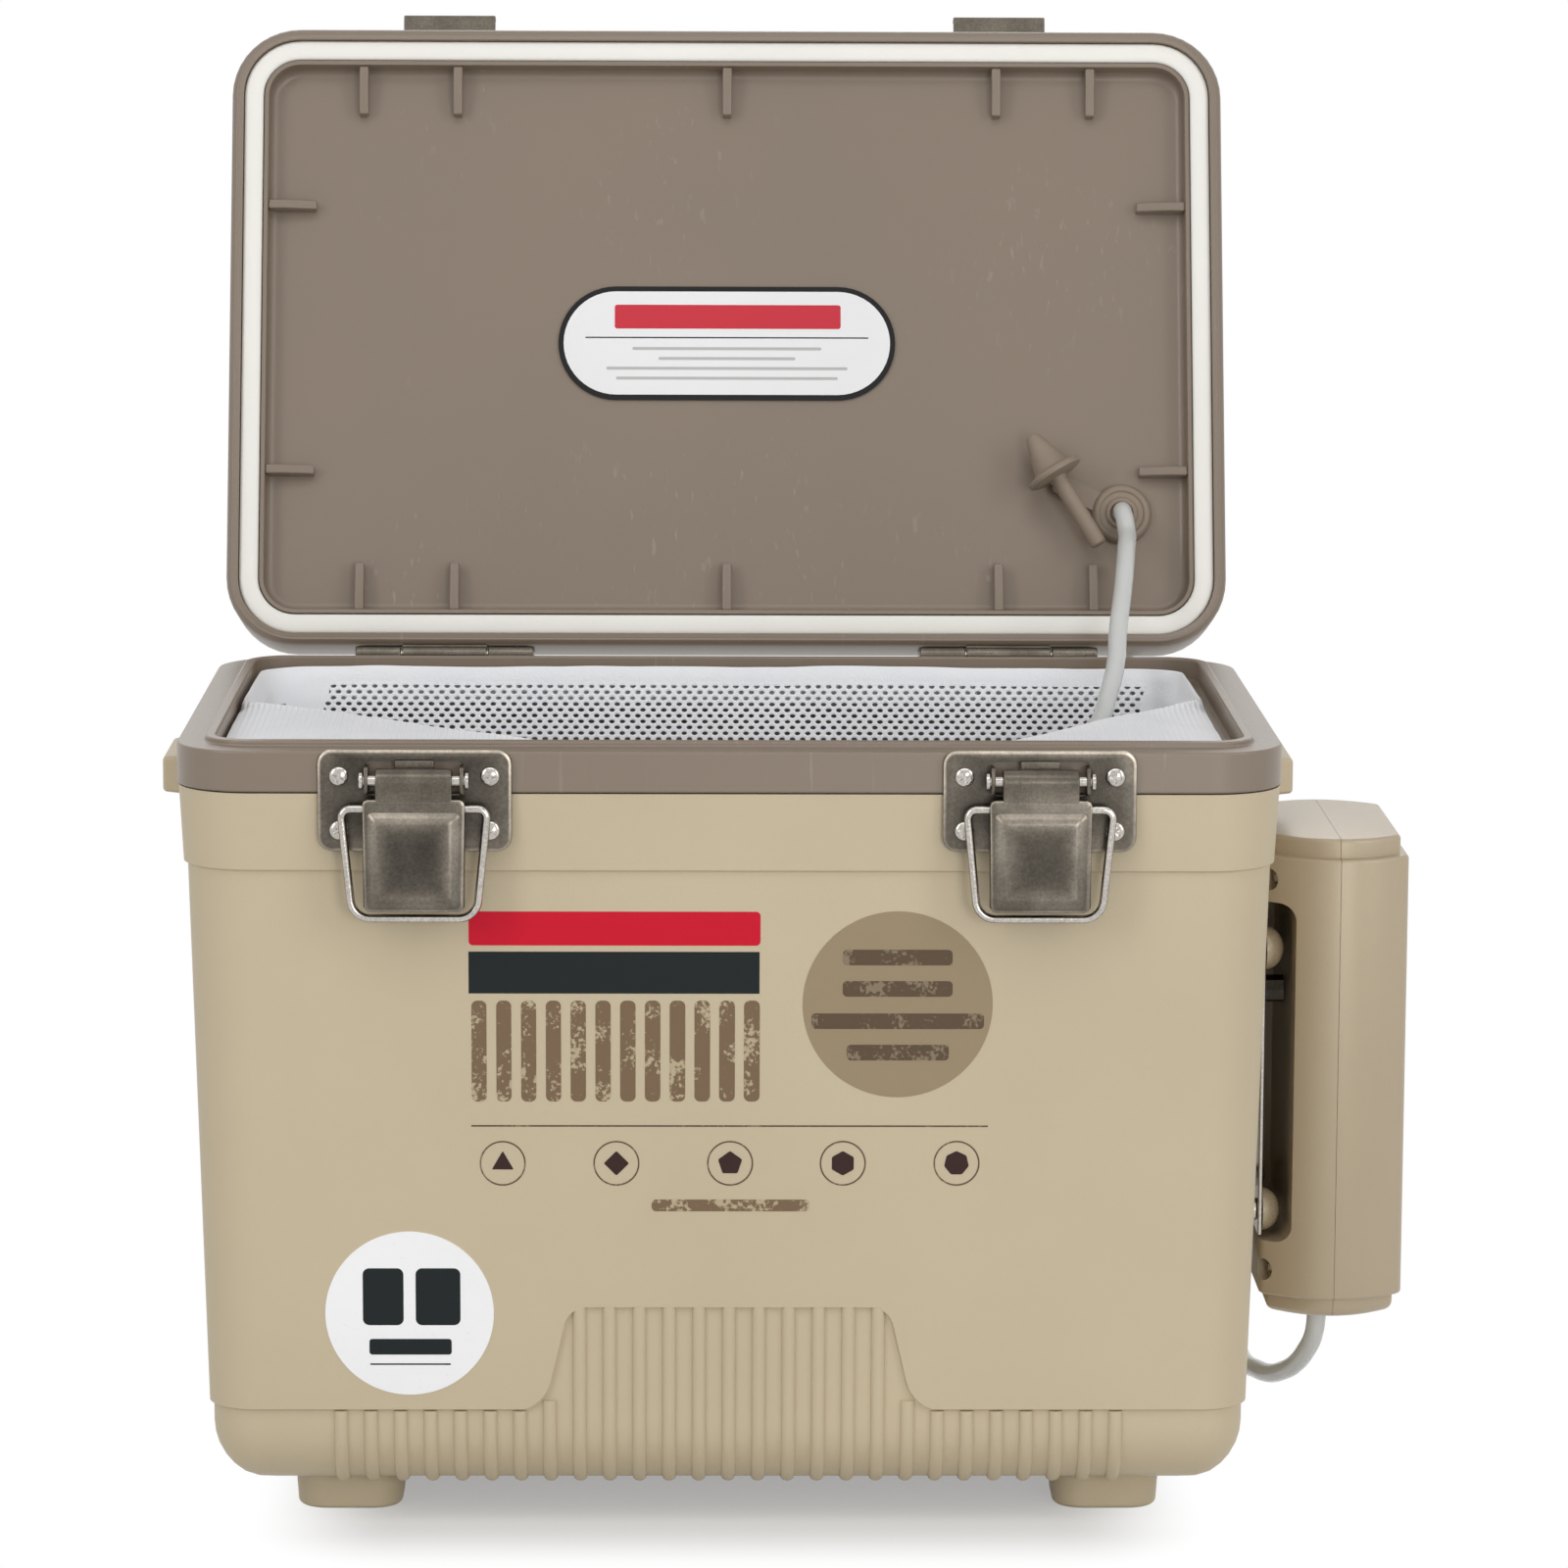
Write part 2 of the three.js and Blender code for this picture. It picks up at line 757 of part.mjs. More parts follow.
// Strap lugs, tapered blocks against the band
sides.forEach(([side, sign]) => {
  const reach = lugReach + bandTopInset;
  const root = boxWidth / 2 - bandTopInset + clearance;
  const shape = new THREE.Shape();
  const top = ledgeHeight - lugDrop;
  shape.moveTo(root, top - lugHeight);
  shape.lineTo(root + reach - lugTaper - lugChamfer, top - lugHeight);
  shape.lineTo(root + reach - lugTaper, top - lugHeight + lugChamfer);
  shape.lineTo(root + reach, top - lugChamfer / 2);
  shape.lineTo(root + reach - lugChamfer / 2, top);
  shape.lineTo(root, top);
  shape.closePath();
  const lug = towardsFront(shape, lugDepth, lugDepth / 2);
  if (sign < 0) lug.rotateZ(Math.PI);
  lug.translate(0, lugCentreY, 0);
  add(`strap_lug_${side}`, lug, tan);
});

// Net liner: mesh bag with a thick sewn hem that rests on the lower step, and its wire hoop
const hemInset = upperStepInset + netGap;
const hemInner = hemInset + hemThickness;
const hemTop = ledgeHeight - netTopDrop;
const hemBottom = lowerStepZ + clearance;
const hoopZ = hemTop - hoopDrop;
const hoopInset = hemInner - hoopSize - clearance;
const netFloorZ = linerFloorHeight + clearance;

function makeNet() {
  const outside = [
    ...bottomFillet(linerBottomInset + netGap, netFloorZ, netBottomRadius),
    [lowerStepInset + netGap, hemBottom - netGap],
    [lowerStepInset + netGap, hemBottom],
    [hemInset, hemBottom],
    [hemInset, hemTop],
  ];
  const grooveLow = hoopZ - hoopSize / 2 - clearance;
  const grooveHigh = hoopZ + hoopSize / 2 + clearance;
  const inside = [
    [hemInner, hemTop],
    [hemInner, grooveHigh],
    [hoopInset - clearance, grooveHigh],
    [hoopInset - clearance, grooveLow],
    [hemInner, grooveLow],
    [hemInner, hemBottom],
    [lowerStepInset + netGap + netWall, hemBottom - netGap - netWall],
    ...bottomFillet(
      linerBottomInset + netGap + netWall,
      netFloorZ + netWall,
      netBottomRadius - netWall,
    ).reverse(),
  ];
  return sweptBox([...outside, ...inside]);
}

add("net_liner", makeNet(), netWhite);

function makeHoop() {
  const [low, high] = [hoopZ - hoopSize / 2, hoopZ + hoopSize / 2];
  const outer = hoopInset;
  const inner = hoopInset + hoopSize;
  return sweptBox([[outer, low], [outer, high], [inner, high], [inner, low]], true);
}

add("net_hoop", makeHoop(), steel);

// Lid, drawn closed
const lidShellInset = lidInset + lidWall;
const lidInnerTop = lidTop - lidWall;
const panelInsetLid = lidShellInset + clearance;
const panelTop = lidFace + panelThickness;
const channelInner = channelInset + channelWidth;
const recessInset = channelInner + ridgeWidth;
const recessFloor = lidFace + recessDepth;
const grommetY = boxDepth / 2 - lidInset - grommetSetback;
const plugY = boxDepth / 2 - lidInset - plugSetback;

function grommetHoleTool() {
  return rodZ(grommetHole, lidFace - overrun, lidTop + overrun, grommetX, grommetY);
}

function makeLidShell() {
  const outside = [];
  for (let step = 0; step <= filletSteps; step += 1) {
    const turn = (step / filletSteps) * (Math.PI / 2);
    const inset = lidInset + lidDraft + lidTopRadius * (1 - Math.cos(Math.PI / 2 - turn));
    outside.push([inset, lidTop - lidTopRadius * (1 - Math.sin(Math.PI / 2 - turn))]);
  }
  outside.push([lidInset, lidFace + lidEdge]);
  outside.push([lidInset + lidEdge / 3, lidFace + lidEdge / 3]);
  outside.push([lidInset + lidEdge * 0.8, lidFace]);
  const inside = [
    [lidShellInset, lidFace],
    [lidShellInset, lidInnerTop - lidTopRadius / 2],
    [lidShellInset + lidTopRadius / 2, lidInnerTop],
  ];
  return cut(sweptBox([...outside, ...inside]), grommetHoleTool(), ...strikePockets);
}

// One gusset from the recess wall towards the middle; it runs along -y from the wall at y = 0
function gusset() {
  const shape = new THREE.Shape();
  shape.moveTo(ridgeWidth / 2, ridgeWidth / 2);
  shape.lineTo(ridgeWidth / 2, gussetDrop - recessDepth);
  shape.lineTo(-gussetLength / 3, gussetDrop - recessDepth);
  shape.lineTo(-gussetLength, gussetEnd - recessDepth + gussetDrop);
  shape.lineTo(-gussetLength, ridgeWidth / 2);
  shape.closePath();
  return sideView(shape, gussetWidth).translate(-gussetWidth / 2, 0, 0);
}

function makeLidPanel() {
  const section = [
    [panelInsetLid, panelTop],
    [panelInsetLid, lidFace],
    [channelInset, lidFace],
    [channelInset, lidFace + channelDepth],
    [channelInner, lidFace + channelDepth],
    [channelInner, lidFace + ridgeSet],
    [recessInset, lidFace + ridgeSet],
    [recessInset + recessDraft, recessFloor - recessFillet],
    [recessInset + recessDraft + recessFillet, recessFloor],
  ];
  const wallX = boxWidth / 2 - recessInset;
  const wallY = boxDepth / 2 - recessInset;
  const gussets = [];
  gussetShares.forEach((share) => {
    const x = share * boxWidth / 2;
    gussets.push(gusset().translate(x, wallY, recessFloor));
    gussets.push(gusset().rotateZ(Math.PI).translate(x, -wallY, recessFloor));
  });
  gussetSideShares.forEach((share) => {
    const y = share * boxDepth / 2;
    gussets.push(gusset().rotateZ(-Math.PI / 2).translate(wallX, y, recessFloor));
    gussets.push(gusset().rotateZ(Math.PI / 2).translate(-wallX, y, recessFloor));
  });
  return cut(join(sweptBox(section), ...gussets), grommetHoleTool());
}

addToLid("lid_panel", makeLidPanel(), taupe);

function makeLidFoam() {
  const section = [
    [panelInsetLid, panelTop + clearance],
    [panelInsetLid, lidInnerTop - lidTopRadius / 2 - clearance],
    [panelInsetLid + lidTopRadius / 2, lidInnerTop - clearance],
  ];
  return cut(sweptBox(section), grommetHoleTool());
}

addToLid("lid_foam", makeLidFoam(), foam);

function makeGasket() {
  const outer = channelInset + clearance;
  const inner = outer + gasketWidth;
  const crest = ledgeHeight + lipHeight + gasketLift;
  const seat = lidFace + channelDepth - clearance;
  const round = (seat - crest) / 3;
  return sweptBox([
    [outer, seat],
    [outer, crest + round],
    [outer + round, crest],
    [inner - round, crest],
    [inner, crest + round],
    [inner, seat],
  ], true);
}

addToLid("lid_gasket", makeGasket(), white);

const labelOutline = roundedShape(labelWidth, labelHeight, labelHeight / 2);
const label = extruded(labelOutline, labelThickness, labelSteps);
const labelFace = recessFloor - clearance - labelThickness;
addToLid("lid_label", label.translate(0, labelSetback, labelFace), white);

// Hose grommet: a rubber sleeve through the lid with a flange on each side, moulded in one with a strap
// and the plug that closes it when the hose is out. The plug lies on its side against the panel.
function makeGrommet() {
  const low = recessFloor - clearance - grommetFlangeHeight;
  const profile = [
    [hoseRadius + hoseGap, low],
    [grommetFlange - grommetFlangeHeight / 2, low],
    [grommetFlange, low + grommetFlangeHeight / 2],
    [grommetFlange, low + grommetFlangeHeight],
    [grommetSleeve, low + grommetFlangeHeight],
    [grommetSleeve, lidTop + clearance],
    [grommetOuterFlange, lidTop + clearance],
    [grommetOuterFlange, lidTop + clearance + grommetOuterHeight],
    [hoseRadius + hoseGap, lidTop + clearance + grommetOuterHeight],
    [hoseRadius + hoseGap, low],
  ].map(([r, z]) => new THREE.Vector2(r, z));
  const sleeve = new THREE.LatheGeometry(profile, rodSides).rotateX(Math.PI / 2);
  return sleeve.translate(grommetX, grommetY, 0);
}

function makePlug() {
  const tip = plugFlangeHeight + plugConeLength;
  const profile = [
    [0, -plugStemLength],
    [plugStem, -plugStemLength],
    [plugStem, 0],
    [plugFlange, 0],
    [plugFlange, plugFlangeHeight],
    [plugCone, plugFlangeHeight],
    [plugConeTip, tip],
    [0, tip],
  ].map(([r, z]) => new THREE.Vector2(r, z));
  const turned = new THREE.LatheGeometry(profile, rodSides);
  turned.rotateZ(Math.PI - THREE.MathUtils.degToRad(plugLean));
  return turned.translate(plugX, plugY, recessFloor - clearance - plugFlange);
}

// The strap runs along the panel from under the plug's flange to the grommet's flange
function makeStrap() {
  const [reachX, reachY] = [grommetX - plugX, grommetY - plugY];
  const length = Math.hypot(reachX, reachY) - grommetFlange + grommetFlangeHeight / 2;
  const top = recessFloor - clearance;
  const strap = block(0, length, -strapWidth / 2, strapWidth / 2, top - strapThickness, top);
  return strap.rotateZ(Math.atan2(reachY, reachX)).translate(plugX, plugY, 0);
}

addToLid("hose_grommet", join(makeGrommet(), makePlug(), makeStrap()), rubber);

// Hinges: the lower leaf has the two outer knuckles, the upper leaf the middle one
const midHalf = knuckleWidth / 2;
const hingeHalf = hingeWidth / 2;

function hingeBore() {
  return rodX(hingePinBore, -hingeHalf - overrun, hingeHalf + overrun, hingeY, hingeZ, rodSides);
}

// A leaf's plate with its back against a wall, centred on a height
function leafPlate(back, z) {
  const shape = roundedShape(hingeWidth, leafHeight, leafCorner);
  return towardsFront(shape, leafThickness, back + leafThickness).translate(0, 0, z);
}

function makeLowerLeaf() {
  const back = backFace + clearance;
  const plate = leafPlate(back, hingeZ - leafClear - leafHeight / 2);
  const neckLow = hingeZ - leafClear - leafCorner * 2;
  const outer = [-1, 1].map((sign) => {
    const low = midHalf + knuckleGap;
    const [a, b] = sign < 0 ? [-hingeHalf, -low] : [low, hingeHalf];
    const barrel = rodX(knuckleRadius, a, b, hingeY, hingeZ);
    return join(barrel, block(a, b, back, back + leafThickness, neckLow, hingeZ));
  });
  return cut(join(plate, ...outer), hingeBore());
}

function makeUpperLeaf() {
  const back = backFace - lidInset + clearance;
  const plate = leafPlate(back, hingeZ + leafClear + leafHeight / 2);
  const barrel = rodX(knuckleRadius, -midHalf, midHalf, hingeY, hingeZ);
  const neckHigh = hingeZ + leafClear + leafCorner * 2;
  const neck = block(-midHalf, midHalf, back, back + leafThickness, hingeZ, neckHigh);
  return cut(join(plate, barrel, neck), hingeBore());
}

sides.forEach(([side, sign]) => {
  const x = (sign * hingeSpan) / 2;
  add(`hinge_lower_leaf_${side}`, makeLowerLeaf().translate(x, 0, 0), steel);
  addToLid(`hinge_upper_leaf_${side}`, makeUpperLeaf().translate(x, 0, 0), steel);
  const pin = rodX(hingePinRadius, -hingeHalf, hingeHalf, hingeY, hingeZ, smallSides);
  add(`hinge_pin_${side}`, pin.translate(x, 0, 0), brightSteel);
});

// Draw latches. Everything is drawn about x = 0 and moved to its side.
const pinZ = latchTop - pinDrop;
const pinY = plateFront - pinStandoff;
const bailZ = pinZ - bailDrop;
const leverFront = pinY - rollRadius;
const bailY = leverFront + bailSetback;

function makeLatchPlate() {
  const shape = roundedShape(plateWidth, plateHeight, plateCorner);
  const plate = towardsFront(shape, plateThickness, plateBack).translate(0, 0, latchTop - plateHeight / 2);
  const windowTop = latchTop - windowDrop;
  const opening = block(
    -windowHalf, windowHalf, plateFront - overrun, plateBack + overrun, windowTop - windowHeight, windowTop,
  );
  const ears = [-1, 1].map((sign) => {
    const outerEdge = windowHalf + earThickness;
    const [a, b] = sign < 0 ? [-outerEdge, -windowHalf] : [windowHalf, outerEdge];
    return block(a, b, plateBack - earReach, plateBack, pinZ - earHeight / 2, pinZ + earHeight / 2);
  });
  const holes = [];
  [-screwSpreadX, screwSpreadX].forEach((x) => {
    [screwUpperDrop, screwLowerDrop].forEach((drop) => {
      const z = latchTop - drop;
      holes.push(rodY(screwHole, plateFront - overrun, plateBack + overrun, x, z, smallSides));
    });
  });
  const bore = rodX(pinHole, -plateWidth / 2, plateWidth / 2, pinY, pinZ);
  return cut(join(cut(plate, opening), ...ears), ...holes, bore);
}

function makeLeverPin() {
  const end = windowHalf + earThickness + clearance;
  const shaftEnd = end + pinHeadLength / 2;
  const shaft = rodX(pinRadius, -shaftEnd, shaftEnd, pinY, pinZ, smallSides);
  const heads = [-1, 1].map((sign) => {
    const [a, b] = sign < 0 ? [-end - pinHeadLength, -end] : [end, end + pinHeadLength];
    return rodX(pinHeadRadius, a, b, pinY, pinZ, smallSides);
  });
  return join(shaft, ...heads);
}

function makeLever() {
  const low = pinZ - leverDrop;
  const skinBack = leverFront + leverSkin;
  const skin = block(-leverHalf, leverHalf, leverFront, skinBack, low, pinZ - leverFlangeTop);
  const neck = block(-rollHalf, rollHalf, leverFront, skinBack, pinZ - leverFlangeTop - overrun, pinZ);
  const roll = rodX(rollRadius, -rollHalf, rollHalf, pinY, pinZ);
  const flangeTop = pinZ - leverFlangeTop;
  const flanges = [-1, 1].map((sign) => {
    const [a, b] = sign < 0 ? [-leverHalf, leverSkin - leverHalf] : [leverHalf - leverSkin, leverHalf];
    const flange = new THREE.Shape();
    flange.moveTo(leverFront, flangeTop);
    flange.lineTo(leverFront, low);
    flange.lineTo(skinBack + leverFlange / 3, low);
    flange.lineTo(skinBack + leverFlange, low + padHeight / 2);
    flange.lineTo(skinBack + leverFlange, flangeTop - leverFlange);
    flange.lineTo(skinBack + leverFlange / 2, flangeTop);
    flange.closePath();
    return sideView(flange, b - a).translate(a, 0, 0);
  });
  const padLow = low + padMargin;
  const padTop = padLow + padHeight;
  const pad = new THREE.Shape();
  pad.moveTo(leverFront + leverSkin / 2, padLow);
  pad.lineTo(leverFront - padLift, padLow + padSlope);
  pad.lineTo(leverFront - padLift, padTop - padSlope);
  pad.lineTo(leverFront + leverSkin / 2, padTop);
  pad.closePath();
  const raised = sideView(pad, padHalf * 2).translate(-padHalf, 0, 0);
  const pinBore = rodX(leverBore, -leverHalf - overrun, leverHalf + overrun, pinY, pinZ);
  const bailBore = rodX(bailHole, -leverHalf - overrun, leverHalf + overrun, bailY, bailZ);
  return cut(join(skin, neck, roll, ...flanges, raised), pinBore, bailBore);
}

// The bail's wire: in through the lever's flange, out over a shoulder, down and round to the other side
function makeBail() {
  const legX = leverHalf - leverSkin - clearance;
  const at = (x, drop) => new THREE.Vector3(x, bailY, bailZ - drop);
  const half = [
    at(legX, 0),
    at(bailTopHalf - bailShoulder, 0),
    at(bailTopHalf, 0),
    at(bailTopHalf, bailShoulder),
  ];
  const narrowing = (bailTopHalf - bailBottomHalf) / (bailLength - bailShoulder);
  const mirror = (p) => new THREE.Vector3(-p.x, p.y, p.z);
  const path = new THREE.CurvePath();
  const low = at(bailBottomHalf + narrowing * bailCorner, bailLength - bailCorner);
  const flat = at(bailBottomHalf - bailCorner, bailLength);
  const corner = at(bailBottomHalf, bailLength);
  path.add(new THREE.LineCurve3(half[0], half[1]));
  path.add(new THREE.QuadraticBezierCurve3(half[1], half[2], half[3]));
  path.add(new THREE.LineCurve3(half[3], low));
  path.add(new THREE.QuadraticBezierCurve3(low, corner, flat));
  path.add(new THREE.LineCurve3(flat, mirror(flat)));
  path.add(new THREE.QuadraticBezierCurve3(mirror(flat), mirror(corner), mirror(low)));
  path.add(new THREE.LineCurve3(mirror(low), mirror(half[3])));
  path.add(new THREE.QuadraticBezierCurve3(mirror(half[3]), mirror(half[2]), mirror(half[1])));
  path.add(new THREE.LineCurve3(mirror(half[1]), mirror(half[0])));
  return alongCurve(path, bailWire, wireSides, wireSteps);
}

// Strikes: a plate let into the lid's front wall, with a hook that holds the raised bail's crossbar
const lean = THREE.MathUtils.degToRad(bailLean);
const barY = bailY - bailLength * Math.sin(lean);
const barZ = bailZ - bailLength * Math.cos(lean);

function makeStrike() {
  const front = frontFace + lidInset;
  const low = lidFace + strikeRise;
  const shape = roundedShape(strikeWidth, strikeHeight, strikeCorner);
  const plate = towardsFront(shape, strikeThickness, front + strikeThickness);
  plate.translate(0, 0, low + strikeHeight / 2);
  const shelfZ = barZ - bailWire - hookRoom;
  const lipY = barY - bailWire - clearance;
  const [left, right] = [-hookWidth / 2, hookWidth / 2];
  const [tip, under] = [lipY - hookThickness, shelfZ - hookThickness];
  const shelf = block(left, right, tip, front + strikeThickness / 2, under, shelfZ);
  const lip = block(left, right, tip, lipY, under, under + hookLip);
  return join(plate, shelf, lip);
}

function strikePocket() {
  const grow = clearance * 2;
  const shape = roundedShape(strikeWidth + grow, strikeHeight + grow, strikeCorner + clearance);
  const front = frontFace + lidInset;
  const depth = strikeThickness + clearance;
  const pocket = towardsFront(shape, overrun + depth, front + depth);
  return pocket.translate(0, 0, lidFace + strikeRise + strikeHeight / 2);
}

sides.forEach(([side, sign]) => {
  const x = latchShift + (sign * latchSpan) / 2;
  addToLid(`strike_${side}`, makeStrike().translate(x, 0, 0), steel);
});

const strikePockets = sides.map(([, sign]) => {
  return strikePocket().translate(latchShift + (sign * latchSpan) / 2, 0, 0);
});
addToLid("lid_shell", makeLidShell(), taupe);

sides.forEach(([side, sign]) => {
  const x = latchShift + (sign * latchSpan) / 2;
  add(`latch_plate_${side}`, makeLatchPlate().translate(x, 0, 0), steel);
  add(`lever_pin_${side}`, makeLeverPin().translate(x, 0, 0), brightSteel);
  add(`latch_lever_${side}`, makeLever().translate(x, 0, 0), steel);
  add(`latch_bail_${side}`, makeBail().translate(x, 0, 0), brightSteel);
});

screwPlaces.forEach(({ name, x, z }) => {
  const headBack = plateFront - clearance;
  const head = rodY(screwHeadRadius, headBack - screwHeadHeight, headBack, x, z, smallSides);
  const tip = plateBack + screwLength;
  const shank = rodY(screwShank, headBack - screwHeadHeight / 2, tip, x, z, smallSides);
  add(name, join(head, shank), brightSteel);
});

// Pump hanger: a steel plate on four posts, with a domed rubber buffer on each
function makeHangerPlate() {
  const shape = roundedShape(hangerHalf * 2, hangerHigh - hangerLow, postRadius);
  const plate = sideView(shape, hangerThickness);
  plate.translate(hangerLeft, hangerCentreY, (hangerLow + hangerHigh) / 2);
  const posts = bufferPlaces.map(({ y, z }) => {
    const wall = boxWidth / 2 - wallInsetAt(z);
    return rodX(postRadius, wall - shellWall, hangerLeft + hangerThickness / 2, y, z, smallSides);
  });
  return join(plate, ...posts);
}

add("pump_hanger", makeHangerPlate(), steel);

const recessFace = pumpLeft + pumpRecessDepth;
bufferPlaces.forEach(({ name, y, z }) => {
  const low = hangerRight + clearance;
  const height = bufferHeight;
  const profile = [];
  for (let step = 0; step <= filletSteps; step += 1) {
    const turn = (step / filletSteps) * (Math.PI / 2);
    profile.push(new THREE.Vector2(bufferRadius * Math.cos(turn), height * Math.sin(turn)));
  }
  profile[filletSteps].x = 0;
  profile.unshift(new THREE.Vector2(0, 0));
  const dome = new THREE.LatheGeometry(profile, rodSides).rotateZ(-Math.PI / 2);
  add(name, dome.translate(low, y, z), tan);
});

// Pump case: two halves that meet at an upright seam, with bowed ends and a pocket for the hanger
const pumpCentreX = pumpLeft + pumpWidth / 2;
const pumpTop = pumpBottom + pumpHeight;
const seamX = pumpLeft + pumpSeam;

// The plan of the pump, drawn in by an inset: straight sides, small corners and bowed ends
function pumpRing(inset, z) {
  const x = pumpWidth / 2 - inset;
  const y = pumpDepth / 2 - inset;
  const r = pumpCorner - inset / 2;
  const turn = Math.atan((2 * pumpBow) / x);
  const endX = x - r * (1 - Math.sin(turn));
  const endY = y - pumpBow;
  const sideY = endY - r * Math.cos(turn);
  const quarter = [];
  for (let step = 0; step <= bowSteps; step += 1) {
    const share = step / bowSteps;
    quarter.push([endX * share, y - pumpBow * share ** 2]);
  }
  for (let step = 1; step <= filletSteps; step += 1) {
    const angle = (Math.PI / 2 - turn) * (1 - step / filletSteps);
    quarter.push([x - r + r * Math.cos(angle), sideY + r * Math.sin(angle)]);
  }
  const back = [...quarter].reverse();
  const plan = [
    ...back,
    ...quarter.slice(1).map(([px, py]) => [-px, py]),
    ...back.map(([px, py]) => [-px, -py]),
    ...quarter.slice(1).map(([px, py]) => [px, -py]),
  ];
  return plan.map(([px, py]) => [pumpCentreX + px, pumpCentreY + py, z]);
}

// A block of that plan, with its bottom and top edges rounded
function pumpBlock(inset, low, high, bottomRound = 0, topRound = 0) {
  const section = [];
  for (let step = 0; step <= filletSteps; step += 1) {
    const turn = (step / filletSteps) * (Math.PI / 2);
    if (bottomRound === 0 && step > 0) break;
    section.push([inset + bottomRound * (1 - Math.sin(turn)), low + bottomRound * (1 - Math.cos(turn))]);
  }
  for (let step = 0; step <= filletSteps; step += 1) {
    const turn = (step / filletSteps) * (Math.PI / 2);
    if (topRound === 0 && step > 0) break;
    section.push([inset + topRound * (1 - Math.cos(turn)), high - topRound * (1 - Math.sin(turn))]);
  }
  return loft(section.map(([by, z]) => pumpRing(by, z)));
}

// The pocket for the hanger, open to the front and the left, grown by a wall
function recessTool(grow) {
  const far = recessFace + grow;
  const high = recessHigh + grow;
  const shape = new THREE.Shape();
  shape.moveTo(pumpLeft - overrun, recessLow - grow);
  shape.lineTo(far, recessLow - grow);
  shape.lineTo(far, high - pumpRecessRound);
  shape.lineTo(far - pumpRecessRound / 3, high - pumpRecessRound / 3);
  shape.lineTo(far - pumpRecessRound, high);
  shape.lineTo(pumpLeft - overrun, high);
  shape.closePath();
  const back = pumpCentreY + pumpDepth / 2 - pumpBow - pumpRecessBack + grow;
  return towardsFront(shape, pumpDepth, back);
}

const outletPlaceX = pumpLeft + outletX;
const outletPlaceY = pumpCentreY + outletY;
const pumpRight = pumpLeft + pumpWidth;
const switchPlaceY = pumpCentreY + switchY;
const switchZ = pumpBottom + switchRise;

function makePumpCase() {
  const [bodyLow, bodyHigh] = [pumpBottom + pumpCapHeight, pumpTop - pumpCapHeight];
  const body = pumpBlock(0, bodyLow, bodyHigh, pumpTopRound, pumpTopRound);
  const core = pumpBlock(pumpCapInset, pumpBottom, pumpTop, pumpBottomRound, pumpTopRound);
  const fullLow = pumpBottom + pumpCapHeight + pumpWall;
  const fullHigh = pumpTop - pumpCapHeight - pumpWall;
  const wide = pumpBlock(pumpWall, fullLow, fullHigh);
  const tall = pumpBlock(pumpCapInset + pumpWall, pumpBottom + pumpWall, pumpTop - pumpWall);
  const wells = [];
  const bosses = [];
  [pumpBottom + wellRise, pumpTop - wellRise].forEach((z) => {
    [-1, 1].forEach((sign) => {
      const y = pumpCentreY + sign * (pumpDepth / 2 - pumpBow - wellInset);
      const floorX = pumpLeft + wellDepth;
      wells.push(rodX(wellRadius, pumpLeft - overrun, floorX, y, z, wellSides));
      bosses.push(rodX(wellRadius + pumpWall, pumpLeft - overrun, floorX + pumpWall, y, z, wellSides));
    });
  });
  const room = cut(join(wide, tall), recessTool(pumpWall), ...bosses);
  const hole = outletRadius + clearance;
  const outletHole = rodZ(
    hole, pumpBottom - overrun, pumpBottom + outletSpan, outletPlaceX, outletPlaceY, smallSides,
  );
  const window = block(
    pumpRight - pumpWall - overrun, pumpRight + overrun,
    switchPlaceY - switchWidth / 2, switchPlaceY + switchWidth / 2,
    switchZ - switchHeight / 2, switchZ + switchHeight / 2,
  );
  return cut(join(body, core), room, recessTool(0), ...wells, outletHole, window);
}

const pumpCase = makePumpCase();
const reachY = pumpDepth + overrun;
const inner = block(pumpLeft - overrun, seamX - clearance / 2, -reachY, reachY, 0, pumpTop + overrun);
const outer = block(seamX + clearance / 2, seamX + pumpWidth, -reachY, reachY, 0, pumpTop + overrun);
add("pump_case_inner", common(pumpCase, inner), pumpTan);
add("pump_case_outer", common(pumpCase, outer), pumpTan);

// Spring clip: riveted in the recess, it drops over the hanger plate's top edge
function makeClip() {
  const front = hangerRight + clipGap;
  const behind = hangerLeft - clearance;
  const [low, high] = [hangerCentreY - clipWidth / 2, hangerCentreY + clipWidth / 2];
  const bridgeZ = hangerHigh + clearance;
  const top = bridgeZ + clipThickness;
  const bridge = block(behind - clipThickness, front + clipThickness, low, high, bridgeZ, top);
  const tail = block(behind - clipThickness, behind, low, high, bridgeZ - clipTail, top);
  const leg = block(front, front + clipThickness, low, high, bridgeZ - clipLeg, top);
  const rivetZ = bridgeZ - clipLeg + clipRivet + clipThickness;
  const seat = recessFace - clearance;
  const rivet = rodX(clipRivet, front + clipThickness / 2, seat, hangerCentreY, rivetZ, smallSides);
  return join(bridge, tail, leg, rivet);
}

add("pump_clip", makeClip(), steel);

// Inside the pump: motor and diaphragm block, two cells, hose outlet and rocker switch
const roomLow = recessFace + pumpWall + clearance;
const roomHigh = pumpLeft + pumpWidth - pumpWall - clearance;
const motorLow = recessLow;
const motorFront = pumpCentreY - pumpDepth / 2 + pumpBow + clearance;

function makeMotor() {
  const height = motorLow + motorHeight;
  const far = roomHigh - pumpCorner;
  const body = block(roomLow, far, motorFront, motorFront + motorDepth, motorLow, height);
  const third = motorDepth / 3;
  const [x, y] = [(roomLow + far) / 2, motorFront + motorDepth / 2];
  const snout = rodZ(third, height - overrun, height + third, x, y);
  return join(body, snout);
}

add("pump_motor", makeMotor(), black);

